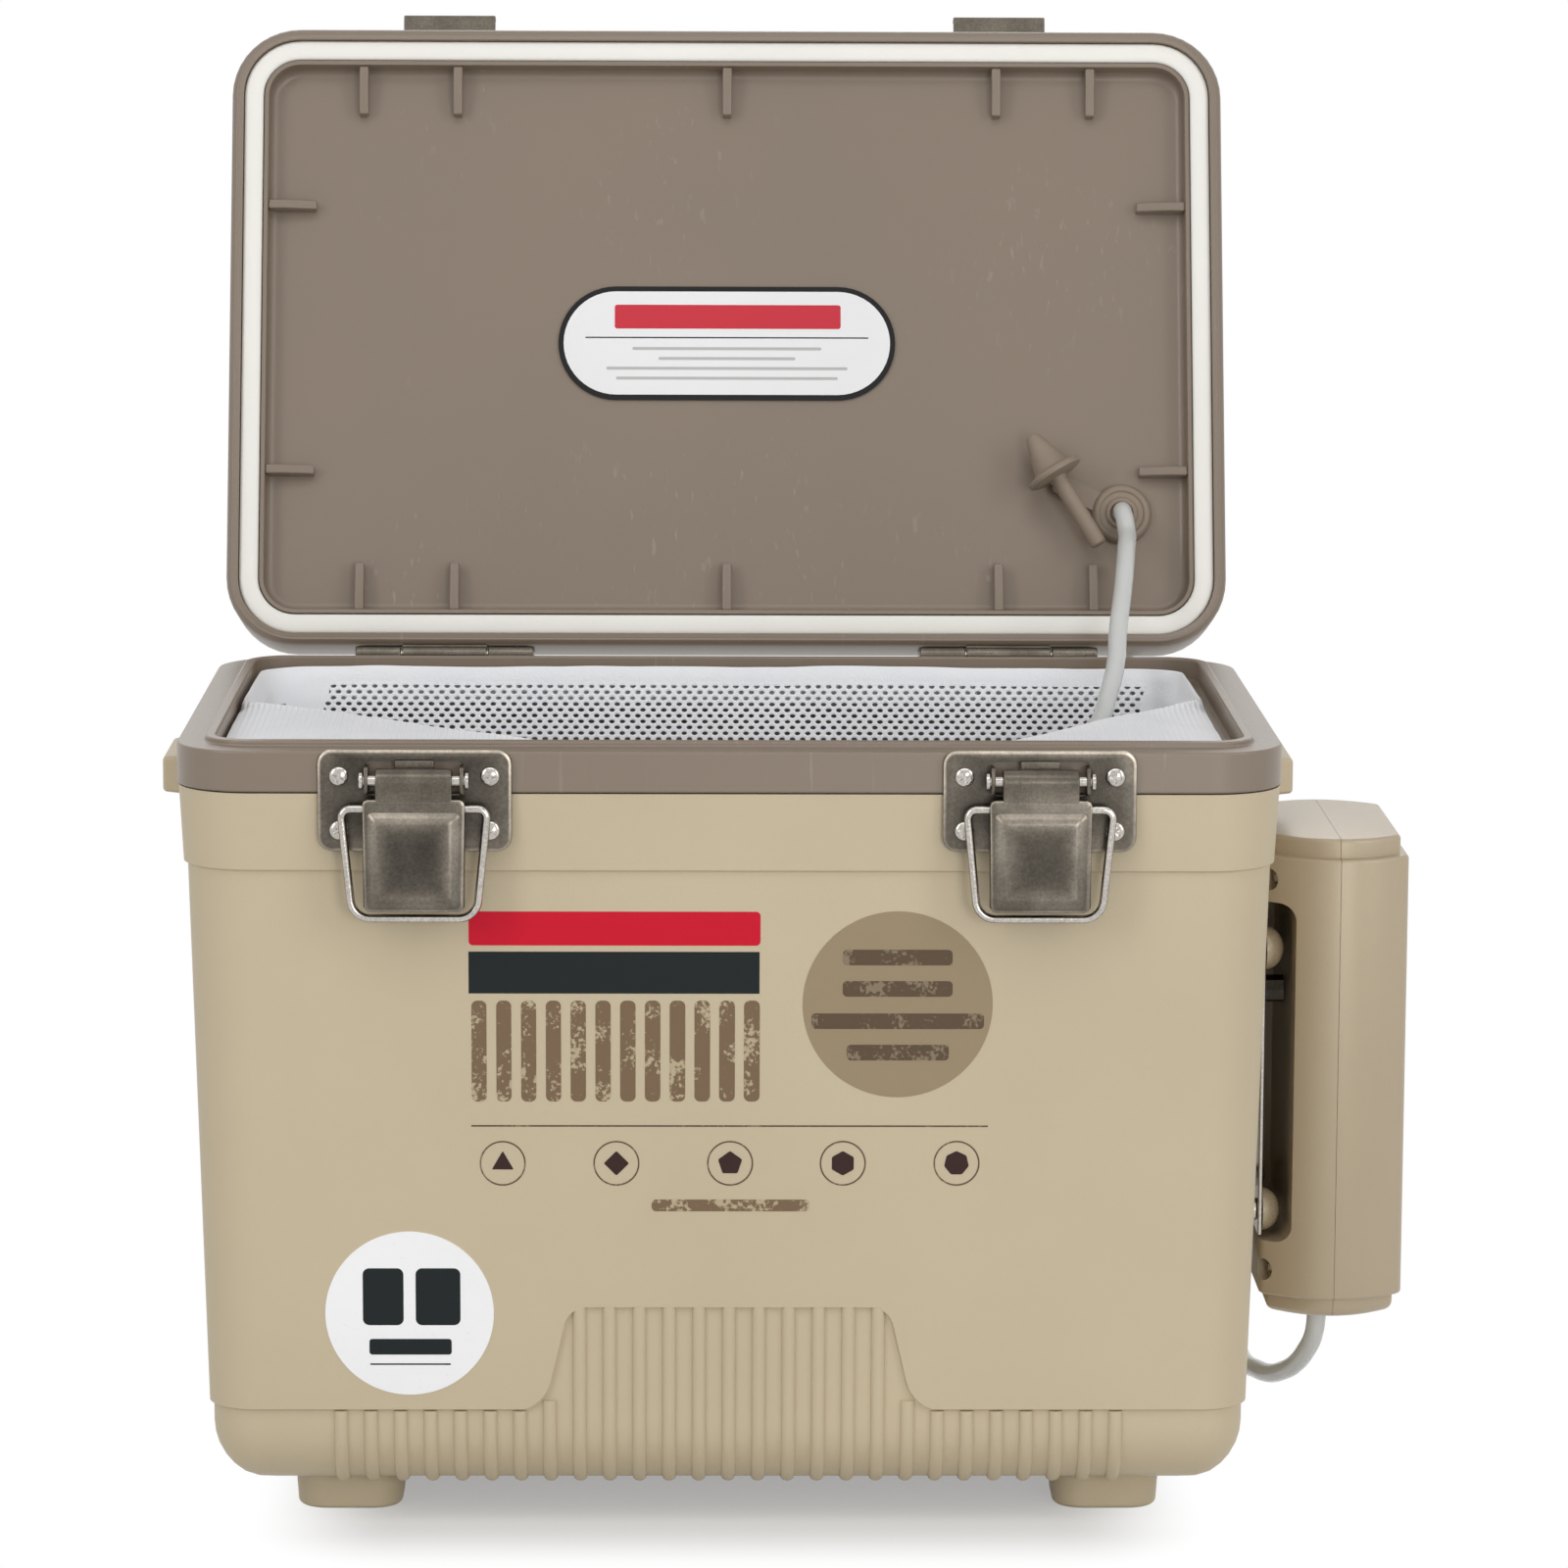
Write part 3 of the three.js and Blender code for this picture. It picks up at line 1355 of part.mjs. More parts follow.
["lower", "upper"].forEach((level, i) => {
  const lowest = pumpBottom + pumpCapHeight + pumpWall + clearance;
  const low = lowest + i * (cellLength + cellNub + clearance);
  const x = roomHigh - cellRadius;
  const y = pumpCentreY + cellY;
  const can = rodZ(cellRadius, low, low + cellLength, x, y);
  const nub = rodZ(cellNubRadius, low + cellLength - overrun, low + cellLength + cellNub, x, y, smallSides);
  add(`cell_${level}`, join(can, nub), cellSkin);
});

function makeOutlet() {
  const place = [outletPlaceX, outletPlaceY, smallSides];
  const pipe = rodZ(outletRadius, pumpBottom - outletLength, motorLow - overrun, ...place);
  const collarZ = pumpBottom + pumpWall + clearance;
  const collar = rodZ(outletFlange, collarZ, collarZ + outletFlange / 2, ...place);
  const barbLow = pumpBottom - outletLength / 2;
  const barb = rodZ(outletRadius + hoseGap, barbLow, pumpBottom - clearance, ...place);
  return join(pipe, collar, barb);
}

add("pump_outlet", makeOutlet(), pumpTan);

// The rocker's side view is part of a disc about its pivot, with a shallow V for a face
function makeSwitch() {
  const radius = switchHeight / 2 - switchGap;
  const shape = new THREE.Shape();
  const turn = Math.asin(switchProud / radius);
  shape.absarc(0, 0, radius, Math.PI - turn, Math.PI * 2 + turn);
  shape.lineTo(0, switchProud / 2);
  shape.closePath();
  const rocker = extruded(shape, switchWidth - switchGap * 2, labelSteps);
  rocker.applyMatrix4(new THREE.Matrix4().makeBasis(
    new THREE.Vector3(0, 0, 1),
    new THREE.Vector3(1, 0, 0),
    new THREE.Vector3(0, 1, 0),
  ));
  const low = switchPlaceY - switchWidth / 2 + switchGap;
  return rocker.translate(pumpRight - pumpWall / 2, low, switchZ);
}

add("pump_switch", makeSwitch(), black);

// Hose from the pump, round behind the box and up to the lid's outer side
const outerHosePoints = [
  [outletPlaceX, outletPlaceY, pumpBottom - outletLength - clearance],
  [171.6, -11.2, 43.2],
  [171, -9.3, 36.6],
  [169.3, -5.3, 31],
  [167, 0.7, 25.7],
  [164, 8.7, 21.4],
  [160.8, 17.7, 18.4],
  [157.9, 26.7, 17.4],
  [155.9, 34.7, 16.8],
  [154.5, 46, 17.5],
  [153.5, 58, 20.5],
  [152.8, 72, 26],
  [152, 86, 34],
  [151, 101, 46],
  [148, 116, 68],
  [143.5, 131, 97],
  [138.5, 144, 128],
  [133.5, 155, 160],
  [129, 163, 190],
  [125.5, 167.5, 215],
  [123, 167, 232],
  [121.5, 161.5, 245],
];

// Hose from the lid's inner side down through the net's mouth to the air stone
const innerHosePoints = [
  [121.9, 106.7, 258.3],
  [121.2, 98.7, 254.7],
  [119.4, 84.7, 244.4],
  [117.4, 74.7, 233.8],
  [115.8, 62.7, 223.5],
  [112.9, 52.7, 215.5],
  [110.2, 42.7, 210.2],
  [106.6, 35.7, 206.8],
  [104, 28, 198],
  [97, 15, 175],
  [92, 7, 140],
  [90, 3, 100],
  [88, 2, 68],
  [84, 2, 47],
  [76, 2, 39.5],
];

function hoseCurve(points) {
  const path = points.map((point) => new THREE.Vector3(...point));
  return new THREE.CatmullRomCurve3(path, false, "centripetal");
}

// A point of the lid, drawn closed, at its place when the lid stands open
function openedLidPoint(x, y, z) {
  const point = new THREE.Vector3(x, y - hingeY, z - hingeZ);
  point.applyAxisAngle(new THREE.Vector3(1, 0, 0), THREE.MathUtils.degToRad(-openAngle));
  return [point.x, point.y + hingeY, point.z + hingeZ];
}

const flangeFace = recessFloor - clearance - grommetFlangeHeight;
const outerFlangeFace = lidTop + clearance + grommetOuterHeight;
const stoneZ = netFloorZ + netWall + clearance + stoneRadius;
const hoseRun = hoseRadius * 2;
outerHosePoints.push(openedLidPoint(grommetX, grommetY, outerFlangeFace + hoseRun));
outerHosePoints.push(openedLidPoint(grommetX, grommetY, outerFlangeFace));
outerHosePoints.push(openedLidPoint(grommetX, grommetY, (lidTop + lidFace) / 2));
outerHosePoints.push(openedLidPoint(grommetX, grommetY, flangeFace + clearance));
innerHosePoints.unshift(openedLidPoint(grommetX, grommetY, flangeFace - hoseRun / 2));
innerHosePoints.unshift(openedLidPoint(grommetX, grommetY, flangeFace));
innerHosePoints.push([stoneX + hoseRun, stoneY, stoneZ]);
innerHosePoints.push([stoneX, stoneY, stoneZ]);

const outerHose = alongCurve(hoseCurve(outerHosePoints), hoseRadius, hoseSides, outerHoseSteps);
const innerHose = alongCurve(hoseCurve(innerHosePoints), hoseRadius, hoseSides, innerHoseSteps);
add("air_hose_outer", outerHose, hoseClear);
add("air_hose_inner", innerHose, hoseClear);

const stoneEnd = stoneX - clearance;
add("air_stone", rodX(stoneRadius, stoneEnd - stoneLength, stoneEnd, stoneY, stoneZ), stoneGrey);

// The origin lies on the floor, under the middle of everything but the hose and its stone
const hosePieces = ["air_hose_outer", "air_hose_inner", "air_stone"];
assembly.updateMatrixWorld(true);
const bounds = new THREE.Box3();
assembly.traverse((piece) => {
  if (piece.isMesh && !hosePieces.includes(piece.name)) bounds.expandByObject(piece, true);
});
const middle = bounds.getCenter(new THREE.Vector3());
assembly.position.set(-middle.x, -middle.y, -bounds.min.z);

export default assembly;
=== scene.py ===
import bmesh
import bpy
import math
from mathutils import Matrix, Vector, geometry, noise


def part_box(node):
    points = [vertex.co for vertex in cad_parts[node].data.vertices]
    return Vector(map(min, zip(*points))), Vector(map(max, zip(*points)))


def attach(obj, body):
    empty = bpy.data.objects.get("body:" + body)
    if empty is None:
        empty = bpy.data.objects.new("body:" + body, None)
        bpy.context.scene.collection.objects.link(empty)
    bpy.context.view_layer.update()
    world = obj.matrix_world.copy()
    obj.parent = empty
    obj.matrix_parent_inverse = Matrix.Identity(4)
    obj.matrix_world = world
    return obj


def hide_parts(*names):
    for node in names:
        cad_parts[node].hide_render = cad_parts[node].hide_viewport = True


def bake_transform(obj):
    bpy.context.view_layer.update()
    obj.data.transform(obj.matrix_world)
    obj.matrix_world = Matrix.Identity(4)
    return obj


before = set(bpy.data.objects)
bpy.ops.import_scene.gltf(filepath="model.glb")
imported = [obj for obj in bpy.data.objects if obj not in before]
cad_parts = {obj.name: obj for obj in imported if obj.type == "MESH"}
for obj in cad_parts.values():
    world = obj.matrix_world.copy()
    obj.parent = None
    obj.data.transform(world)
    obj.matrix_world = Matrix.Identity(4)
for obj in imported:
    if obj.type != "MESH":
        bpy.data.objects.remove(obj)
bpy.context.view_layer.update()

# The view of the photograph: a long lens a little above the rim, almost square to the front of the box.
camera_place = Vector((-0.026863, -1.792351, 0.470029))
camera_yaw = 0.015
camera_pitch = 0.1539
camera_roll = 0.004

camera_data = bpy.data.cameras.new("camera")
camera_data.lens = 141.28
camera_data.sensor_width = 36
camera_data.clip_end = 50
camera = bpy.data.objects.new("camera", camera_data)
bpy.context.scene.collection.objects.link(camera)
aim = Matrix.Rotation(-camera_yaw, 4, "Z") @ Matrix.Rotation(math.pi / 2 - camera_pitch, 4, "X")
aim = aim @ Matrix.Rotation(camera_roll, 4, "Z")
camera.matrix_world = Matrix.Translation(camera_place) @ aim
bpy.context.scene.camera = camera
bpy.context.scene.view_settings.view_transform = "Standard"

# Air hose: soft tube, clear but milky. One stretch runs from the pump's outlet behind the box up to
# the lid, the other hangs from the lid's grommet into the net and ends in an air stone.
hose_radius = 0.0028
outer_route = [
    (0.1716, -0.0113, 0.0457), (0.1716, -0.0112, 0.0432), (0.171, -0.0093, 0.0366),
    (0.1693, -0.0053, 0.031), (0.167, 0.0007, 0.0257), (0.164, 0.0087, 0.0214),
    (0.1608, 0.0177, 0.0184), (0.1579, 0.0267, 0.0174), (0.1559, 0.0347, 0.0168),
    (0.1545, 0.046, 0.0175), (0.1535, 0.058, 0.0205), (0.1528, 0.072, 0.026), (0.152, 0.086, 0.034),
    (0.151, 0.101, 0.046), (0.148, 0.116, 0.068), (0.1435, 0.131, 0.097), (0.1385, 0.144, 0.128),
    (0.1335, 0.155, 0.16), (0.129, 0.163, 0.19), (0.1255, 0.1675, 0.215), (0.123, 0.167, 0.232),
    (0.1215, 0.1615, 0.245), (0.121, 0.14502, 0.25506), (0.121, 0.13967, 0.25671),
    (0.121, 0.12506, 0.26124), (0.121, 0.11779, 0.26349),
]
inner_route = [
    (0.121, 0.11751, 0.26357), (0.121, 0.11483, 0.2644), (0.1219, 0.1067, 0.2583),
    (0.1212, 0.0987, 0.2547), (0.1194, 0.0847, 0.2444), (0.1174, 0.0747, 0.2338),
    (0.1158, 0.0627, 0.2235), (0.1129, 0.0527, 0.2155), (0.1102, 0.0427, 0.2102),
    (0.1066, 0.0357, 0.2068), (0.104, 0.028, 0.198), (0.097, 0.015, 0.175), (0.092, 0.007, 0.14),
    (0.09, 0.003, 0.1), (0.088, 0.002, 0.068), (0.084, 0.002, 0.047), (0.076, 0.002, 0.0395),
    (0.0696, 0.002, 0.0386), (0.064, 0.002, 0.0386),
]

# Every place on the box counts from the middle of the rim's plan and from the floor.
rim_low, rim_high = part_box("liner_and_rim")
middle = Vector(((rim_low.x + rim_high.x) / 2, (rim_low.y + rim_high.y) / 2, 0))
half_width = (rim_high.x - rim_low.x) / 2
half_depth = (rim_high.y - rim_low.y) / 2


def at(x, y, z):
    return middle + Vector((x, y, z))


def linear(red, green, blue):
    """A colour as the eye sees it, 0 to 255, in the light values that the shaders take."""
    seen = [channel / 255 for channel in (red, green, blue)]
    return tuple(s / 12.92 if s <= 0.04045 else ((s + 0.055) / 1.055) ** 2.4 for s in seen) + (1,)


def add_node(tree, kind, feeds=None, **settings):
    """A shader node with its settings. A feed is a plain value or another node's output."""
    node = tree.nodes.new(kind)
    for name, value in settings.items():
        setattr(node, name, value)
    for socket, value in (feeds or {}).items():
        if isinstance(value, bpy.types.NodeSocket):
            tree.links.new(value, node.inputs[socket])
        else:
            node.inputs[socket].default_value = value
    return node


def new_material(name, color, roughness, **values):
    """A material whose shader starts from plain values."""
    material = bpy.data.materials.new(name)
    material.use_nodes = True
    shader = material.node_tree.nodes["Principled BSDF"]
    shader.inputs["Base Color"].default_value = color
    shader.inputs["Roughness"].default_value = roughness
    for socket, value in values.items():
        shader.inputs[socket.replace("_", " ")].default_value = value
    return material, material.node_tree, shader


def tube_along(name, knots, radius, sides=10, steps=6):
    """A round tube through knots, each a point with the two handles that bend it, or without."""
    curve = bpy.data.curves.new(name, "CURVE")
    curve.dimensions = "3D"
    curve.bevel_depth = radius
    curve.bevel_resolution = sides // 2
    curve.resolution_u = steps
    curve.use_fill_caps = True
    spline = curve.splines.new("BEZIER")
    spline.bezier_points.add(len(knots) - 1)
    for knot, (place, before, after) in zip(spline.bezier_points, knots):
        knot.co = place
        knot.handle_left_type = knot.handle_right_type = "AUTO" if before is None else "FREE"
        if before is not None:
            knot.handle_left, knot.handle_right = before, after
    drawn = bpy.data.objects.new(name + "_line", curve)
    bpy.context.scene.collection.objects.link(drawn)
    bpy.context.view_layer.update()
    path = []
    for a, b in zip(spline.bezier_points, spline.bezier_points[1:]):
        path += geometry.interpolate_bezier(a.co, a.handle_right, b.handle_left, b.co, 7)[:-1]
    path.append(spline.bezier_points[-1].co.copy())
    mesh = bpy.data.meshes.new_from_object(drawn.evaluated_get(bpy.context.evaluated_depsgraph_get()))
    mesh.name = name
    bpy.data.objects.remove(drawn)
    for face in mesh.polygons:
        face.use_smooth = True
    return bpy.data.objects.new(name, mesh), path


def noise_at(tree, coords, scale, detail=2.0):
    """Smooth noise from 0 to 1, read at the coordinates."""
    feeds = {"Vector": coords, "Scale": scale, "Detail": detail}
    return add_node(tree, "ShaderNodeTexNoise", feeds).outputs["Fac"]


def mixed_color(tree, share, first, second):
    feeds = {"Factor": share, 6: first, 7: second}
    return add_node(tree, "ShaderNodeMix", feeds, data_type="RGBA").outputs[2]


def link_to(tree, inputs, **results):
    """Links each result to the socket of its name."""
    for socket, result in results.items():
        tree.links.new(result, inputs[socket.replace("_", " ")])


hose_clear, tree, shader = new_material(
    "hose_clear", linear(226, 227, 224), 0.22, Transmission_Weight=0.25, IOR=1.42, Coat_Weight=0.25,
    Subsurface_Weight=0.3, Subsurface_Radius=(0.004, 0.004, 0.004), Subsurface_Scale=1.0)
clouds = noise_at(tree, add_node(tree, "ShaderNodeTexCoord").outputs["Object"], 60.0)
milk = mixed_color(tree, clouds, linear(218, 220, 217), linear(234, 235, 232))
link_to(tree, shader.inputs, Base_Color=milk)

for name, route, far_end, spare in (
    ("air_hose_outer", outer_route, "object", []),
    ("air_hose_inner", inner_route, "fitting", [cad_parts["air_stone"]]),
):
    tube, path = tube_along("clear_" + name, [(at(*place), None, None) for place in route], hose_radius)
    bpy.context.scene.collection.objects.link(tube)
    tube.data.materials.append(hose_clear)
    if name == "air_hose_outer":
        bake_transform(tube)
    else:
        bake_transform(tube)
    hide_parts(name)

# Stage: a plain pale floor that fades to white, and soft studio light from above, the front, both sides
# and the back. What the camera, a shiny face or a clear tube sees past the floor is the white background.
fade_inset_x, fade_inset_y, fade_width, fade_least = 0.06, 0.012, 0.043, 0.35
room_light = 0.46
bm = bmesh.new()
bmesh.ops.create_grid(bm, x_segments=1, y_segments=1, size=3.0)
floor_mesh = bpy.data.meshes.new("studio_floor")
bm.to_mesh(floor_mesh)
bm.free()
studio_floor = bpy.data.objects.new("studio_floor", floor_mesh)
bpy.context.scene.collection.objects.link(studio_floor)


def calc(tree, operation, *values):
    """A maths node's result. Each value is plain or another node's output."""
    return add_node(tree, "ShaderNodeMath", dict(enumerate(values)), operation=operation).outputs[0]


def vector_calc(tree, operation, *values):
    """The same for vectors and their length."""
    node = add_node(tree, "ShaderNodeVectorMath", dict(enumerate(values)), operation=operation)
    return node.outputs["Value" if operation == "LENGTH" else "Vector"]


def remap(tree, value, low, high, to_low=0.0, to_high=1.0, kind="LINEAR"):
    """A value taken from one range to another and held inside it."""
    feeds = {"Value": value, "From Min": low, "From Max": high, "To Min": to_low, "To Max": to_high}
    return add_node(tree, "ShaderNodeMapRange", feeds, interpolation_type=kind).outputs["Result"]


def seen_straight(tree):
    """One for the rays that should meet plain white: from the camera, a gloss or a clear piece."""
    ray = add_node(tree, "ShaderNodeLightPath").outputs
    seen = calc(tree, "MAXIMUM", ray["Is Camera Ray"], ray["Is Glossy Ray"])
    return calc(tree, "MAXIMUM", seen, ray["Is Transmission Ray"])


floor_paint, tree, shader = new_material("floor_paint", (0.75, 0.75, 0.75, 1), 0.9, Specular_IOR_Level=0.0)
coords = add_node(tree, "ShaderNodeTexCoord").outputs["Object"]
fade_start = (half_width - fade_inset_x, half_depth - fade_inset_y, 0)
reach = vector_calc(tree, "ABSOLUTE", vector_calc(tree, "SUBTRACT", coords, middle))
reach = vector_calc(tree, "MAXIMUM", vector_calc(tree, "SUBTRACT", reach, fade_start), (0, 0, 0))
fade = remap(tree, vector_calc(tree, "LENGTH", reach), 0.0, fade_width, fade_least, kind="SMOOTHSTEP")
white = add_node(tree, "ShaderNodeEmission", {"Color": (1, 1, 1, 1), "Strength": 1.0}).outputs[0]
share = calc(tree, "MULTIPLY", fade, seen_straight(tree))
mixed = add_node(tree, "ShaderNodeMixShader", {0: share, 1: shader.outputs[0], 2: white}).outputs[0]
link_to(tree, tree.nodes["Material Output"].inputs, Surface=mixed)
floor_mesh.materials.append(floor_paint)

world = bpy.data.worlds.new("studio_air")
bpy.context.scene.world = world
world.use_nodes = True
tree = world.node_tree
air = tree.nodes["Background"]
air.inputs["Color"].default_value = (1, 1, 1, 1)
link_to(tree, air.inputs, Strength=remap(tree, seen_straight(tree), 0.0, 1.0, room_light))

for name, place, size, power in (
    ("lamp_top", (0.0, -1.0, 1.8), (1.6, 0.5), 4.5),
    ("lamp_left", (-1.4, -1.3, 1.1), (0.5, 1.3), 8.5),
    ("lamp_right", (1.5, -1.2, 0.9), (0.5, 1.3), 6.5),
    ("lamp_front", (0.7, -2.3, 0.4), (0.6, 0.8), 9.5),
    ("lamp_back", (0.0, 1.9, 1.3), (1.4, 0.6), 6),
):
    lamp_data = bpy.data.lights.new(name, "AREA")
    lamp_data.shape = "RECTANGLE"
    lamp_data.size, lamp_data.size_y = size
    lamp_data.energy = power
    lamp = bpy.data.objects.new(name, lamp_data)
    lamp.location = place
    lamp.rotation_euler = (Vector((0, 0, 0.2)) - lamp.location).to_track_quat("-Z", "Y").to_euler()
    bpy.context.scene.collection.objects.link(lamp)

# Outer shell: one tan moulding with a satin grain. Its band stands out under the rim, the base steps
# in, and an arch is pressed into the front and back.
corner_radius, least_radius, corner_steps = 0.021, 0.003, 10
stand_height, bottom_radius = 0.0115, 0.018
base_inset, panel_inset = 0.0084, 0.0072
wall_top_inset, band_low_inset, band_top_inset = 0.0027, 0.0016, 0.0004
base_line, band_low, band_top = 0.0345, 0.1883, 0.2096
shell_wall = 0.003
arch_height, arch_top_half, arch_base_half, arch_bend = 0.030, 0.0445, 0.0515, 0.005
arch_flare = 0.009
draft = 0.0002


def edges_of(verts):
    """The edges at the points, each once, in the same order on every run."""
    return list(dict.fromkeys(edge for vert in verts for edge in vert.link_edges))


def ring_of(bm, points):
    """A loop of edges through the points, in their order."""
    ring = bmesh.ops.create_circle(bm, cap_ends=False, segments=len(points), radius=1)["verts"]
    for vert, place in zip(ring, points):
        vert.co = place
    return edges_of(ring)


def rounded_plan(half_x, half_y, radius, steps):
    """Points round a rectangle with round corners."""
    points = []
    for quarter, (sign_x, sign_y) in enumerate(((1, 1), (-1, 1), (-1, -1), (1, -1))):
        for step in range(steps + 1):
            angle = (quarter + step / steps) * math.pi / 2
            points.append((sign_x * (half_x - radius) + math.cos(angle) * radius,
                           sign_y * (half_y - radius) + math.sin(angle) * radius))
    return points


def box_ring(bm, inset, z):
    """A level loop round the plan of the box, drawn in by an inset."""
    radius = max(corner_radius - inset, least_radius)
    plan = rounded_plan(half_width - inset, half_depth - inset, radius, corner_steps)
    return ring_of(bm, [at(x, y, z) for x, y in plan])


def join_rings(bm, rings, closed=False):
    """A skin from loop to loop. An open run gets a flat face at each end."""
    for a, b in zip(rings, rings[1:]):
        bmesh.ops.bridge_loops(bm, edges=a + b)
    if closed:
        bmesh.ops.bridge_loops(bm, edges=rings[-1] + rings[0])
    else:
        bmesh.ops.edgeloop_fill(bm, edges=rings[0])
        bmesh.ops.edgeloop_fill(bm, edges=rings[-1])


def lofted(section, ring=box_ring, closed=False):
    """A skin over level loops, one for each inset and height of the section."""
    bm = bmesh.new()
    join_rings(bm, [ring(bm, inset, z) for inset, z in section], closed)
    return bm


def fillet(inset, z, radius, way=1, steps=8):
    """A section's quarter round, from the flat at z to the upright at the inset."""
    turns = [math.pi / 2 * step / steps for step in range(steps + 1)]
    return [(inset + radius * (1 - math.sin(t)), z + way * radius * (1 - math.cos(t))) for t in turns]


def slab(outline, depth, radius=0.0, rounded=None, segments=6):
    """A plate from an outline in x and z, chosen corners rounded; its back is at y = 0."""
    bm = bmesh.new()
    corners = [bmesh.ops.create_vert(bm, co=(x, 0, z))["vert"][0] for x, z in outline]
    bm.faces.new(corners)
    if radius:
        chosen = corners if rounded is None else [corners[i] for i in rounded]
        bmesh.ops.bevel(bm, geom=chosen, offset=radius, offset_type="OFFSET", segments=segments,
                        profile=0.5, affect="VERTICES", material=-1)
    drawn = bmesh.ops.extrude_face_region(bm, geom=bm.faces[:])["geom"]
    drawn = [part for part in drawn if isinstance(part, bmesh.types.BMVert)]
    bmesh.ops.translate(bm, vec=(0, -depth, 0), verts=drawn)
    return bm


def rectangle(low_x, high_x, low_z, high_z):
    return [(low_x, low_z), (high_x, low_z), (high_x, high_z), (low_x, high_z)]


def moved(bm, *steps):
    """The same mesh after a chain of matrices, the last one first."""
    whole = Matrix.Identity(4)
    for step in steps:
        whole = whole @ step
    bmesh.ops.transform(bm, matrix=whole, verts=bm.verts)
    return bm


def made(bm, name, sharp=38):
    """A shaded mesh object whose faces point out, creased where they meet sharply."""
    bmesh.ops.remove_doubles(bm, verts=bm.verts, dist=1e-6)
    bmesh.ops.recalc_face_normals(bm, faces=bm.faces)
    mesh = bpy.data.meshes.new(name)
    bm.to_mesh(mesh)
    bm.free()
    for face in mesh.polygons:
        face.use_smooth = True
    mesh.set_sharp_from_angle(angle=math.radians(sharp))
    return bpy.data.objects.new(name, mesh)


def soften(piece, width, segments=3, angle=38):
    """Small round edges, as a mould or a press leaves them."""
    edges = piece.modifiers.new("round_edges", "BEVEL")
    edges.width = width
    edges.segments = segments
    edges.limit_method = "ANGLE"
    edges.angle_limit = math.radians(angle)
    edges.harden_normals = True
    return piece


def carve(piece, cutters, weld=2e-5):
    """Cuts the cutters out of the piece, joins points closer than the weld and throws the cutters away."""
    bpy.context.scene.collection.objects.link(piece)
    for cutter in cutters:
        bpy.context.scene.collection.objects.link(cutter)
        cut = piece.modifiers.new("cut", "BOOLEAN")
        cut.object = cutter
        cut.solver = "EXACT"
    bpy.context.view_layer.update()
    done = bpy.data.meshes.new_from_object(piece.evaluated_get(bpy.context.evaluated_depsgraph_get()))
    piece.modifiers.clear()
    clean = bmesh.new()
    clean.from_mesh(done)
    bmesh.ops.remove_doubles(clean, verts=clean.verts, dist=weld)
    clean.to_mesh(done)
    clean.free()
    done.name = piece.name
    piece.data = done
    for face in done.polygons:
        face.use_smooth = True
    done.set_sharp_from_angle(angle=math.radians(38))
    for cutter in cutters:
        bpy.data.objects.remove(cutter)
    return piece


def show(piece, material, body, stands_for=()):
    """Puts a piece in the scene on its body, with the finish as its material, and hides the parts that it
    stands for.
    """
    if piece.name not in bpy.context.scene.collection.objects:
        bpy.context.scene.collection.objects.link(piece)
    piece.data.materials.clear()
    piece.data.materials.append(material)
    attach(piece, body)
    if stands_for:
        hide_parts(*stands_for)


def new_group(name, given, results):
    """A node group, the values that it is given and the sockets for its results."""
    group = bpy.data.node_groups.new(name, "ShaderNodeTree")
    for way, sockets in (("INPUT", given), ("OUTPUT", results)):
        for socket, kind in sockets.items():
            group.interface.new_socket(name=socket, in_out=way, socket_type="NodeSocket" + kind)
    return group, add_node(group, "NodeGroupInput").outputs, add_node(group, "NodeGroupOutput").inputs


def scaled(tree, color, factor):
    feeds = {0: color, "Scale": factor}
    return add_node(tree, "ShaderNodeVectorMath", feeds, operation="SCALE").outputs[0]


def bumped(tree, height, strength, distance):
    """The surface's direction over fine relief."""
    feeds = {"Height": height, "Strength": strength, "Distance": distance}
    return add_node(tree, "ShaderNodeBump", feeds).outputs[0]


finish_results = {"Color": "Color", "Roughness": "Float", "Normal": "Vector"}
scuff_color = (0.62, 0.58, 0.52, 1)


def skin_group():
    """Moulded plastic: faint clouds of colour, fine grain, and thin scuffs that catch the light."""
    group, given, out = new_group("moulded_skin", {
        "Color": "Color", "Roughness": "Float", "Grain Size": "Float", "Grain Depth": "Float",
        "Scuffs": "Float"}, finish_results)
    coords = add_node(group, "ShaderNodeTexCoord").outputs["Object"]
    tone = remap(group, noise_at(group, coords, 11.0, 4.0), 0.3, 0.7, 0.96, 1.03)
    grain = noise_at(group, coords, given["Grain Size"])
    drawn = add_node(group, "ShaderNodeMapping", {
        "Vector": coords, "Rotation": (0.2, 0.15, 0.4), "Scale": (520.0, 520.0, 36.0)}).outputs[0]
    thin = remap(group, noise_at(group, drawn, 1.0, 3.0), 0.63, 0.72)
    spread = remap(group, noise_at(group, coords, 19.0, 1.0), 0.5, 0.7)
    scuff = calc(group, "MULTIPLY", calc(group, "MULTIPLY", thin, spread), given["Scuffs"])
    rough = calc(group, "MULTIPLY_ADD", grain, 0.14, given["Roughness"])
    link_to(group, out,
            Color=mixed_color(group, scuff, scaled(group, given["Color"], tone), scuff_color),
            Roughness=calc(group, "MULTIPLY_ADD", scuff, 0.25, rough),
            Normal=bumped(group, grain, given["Grain Depth"], 0.0002))
    return group


moulded_skin = skin_group()


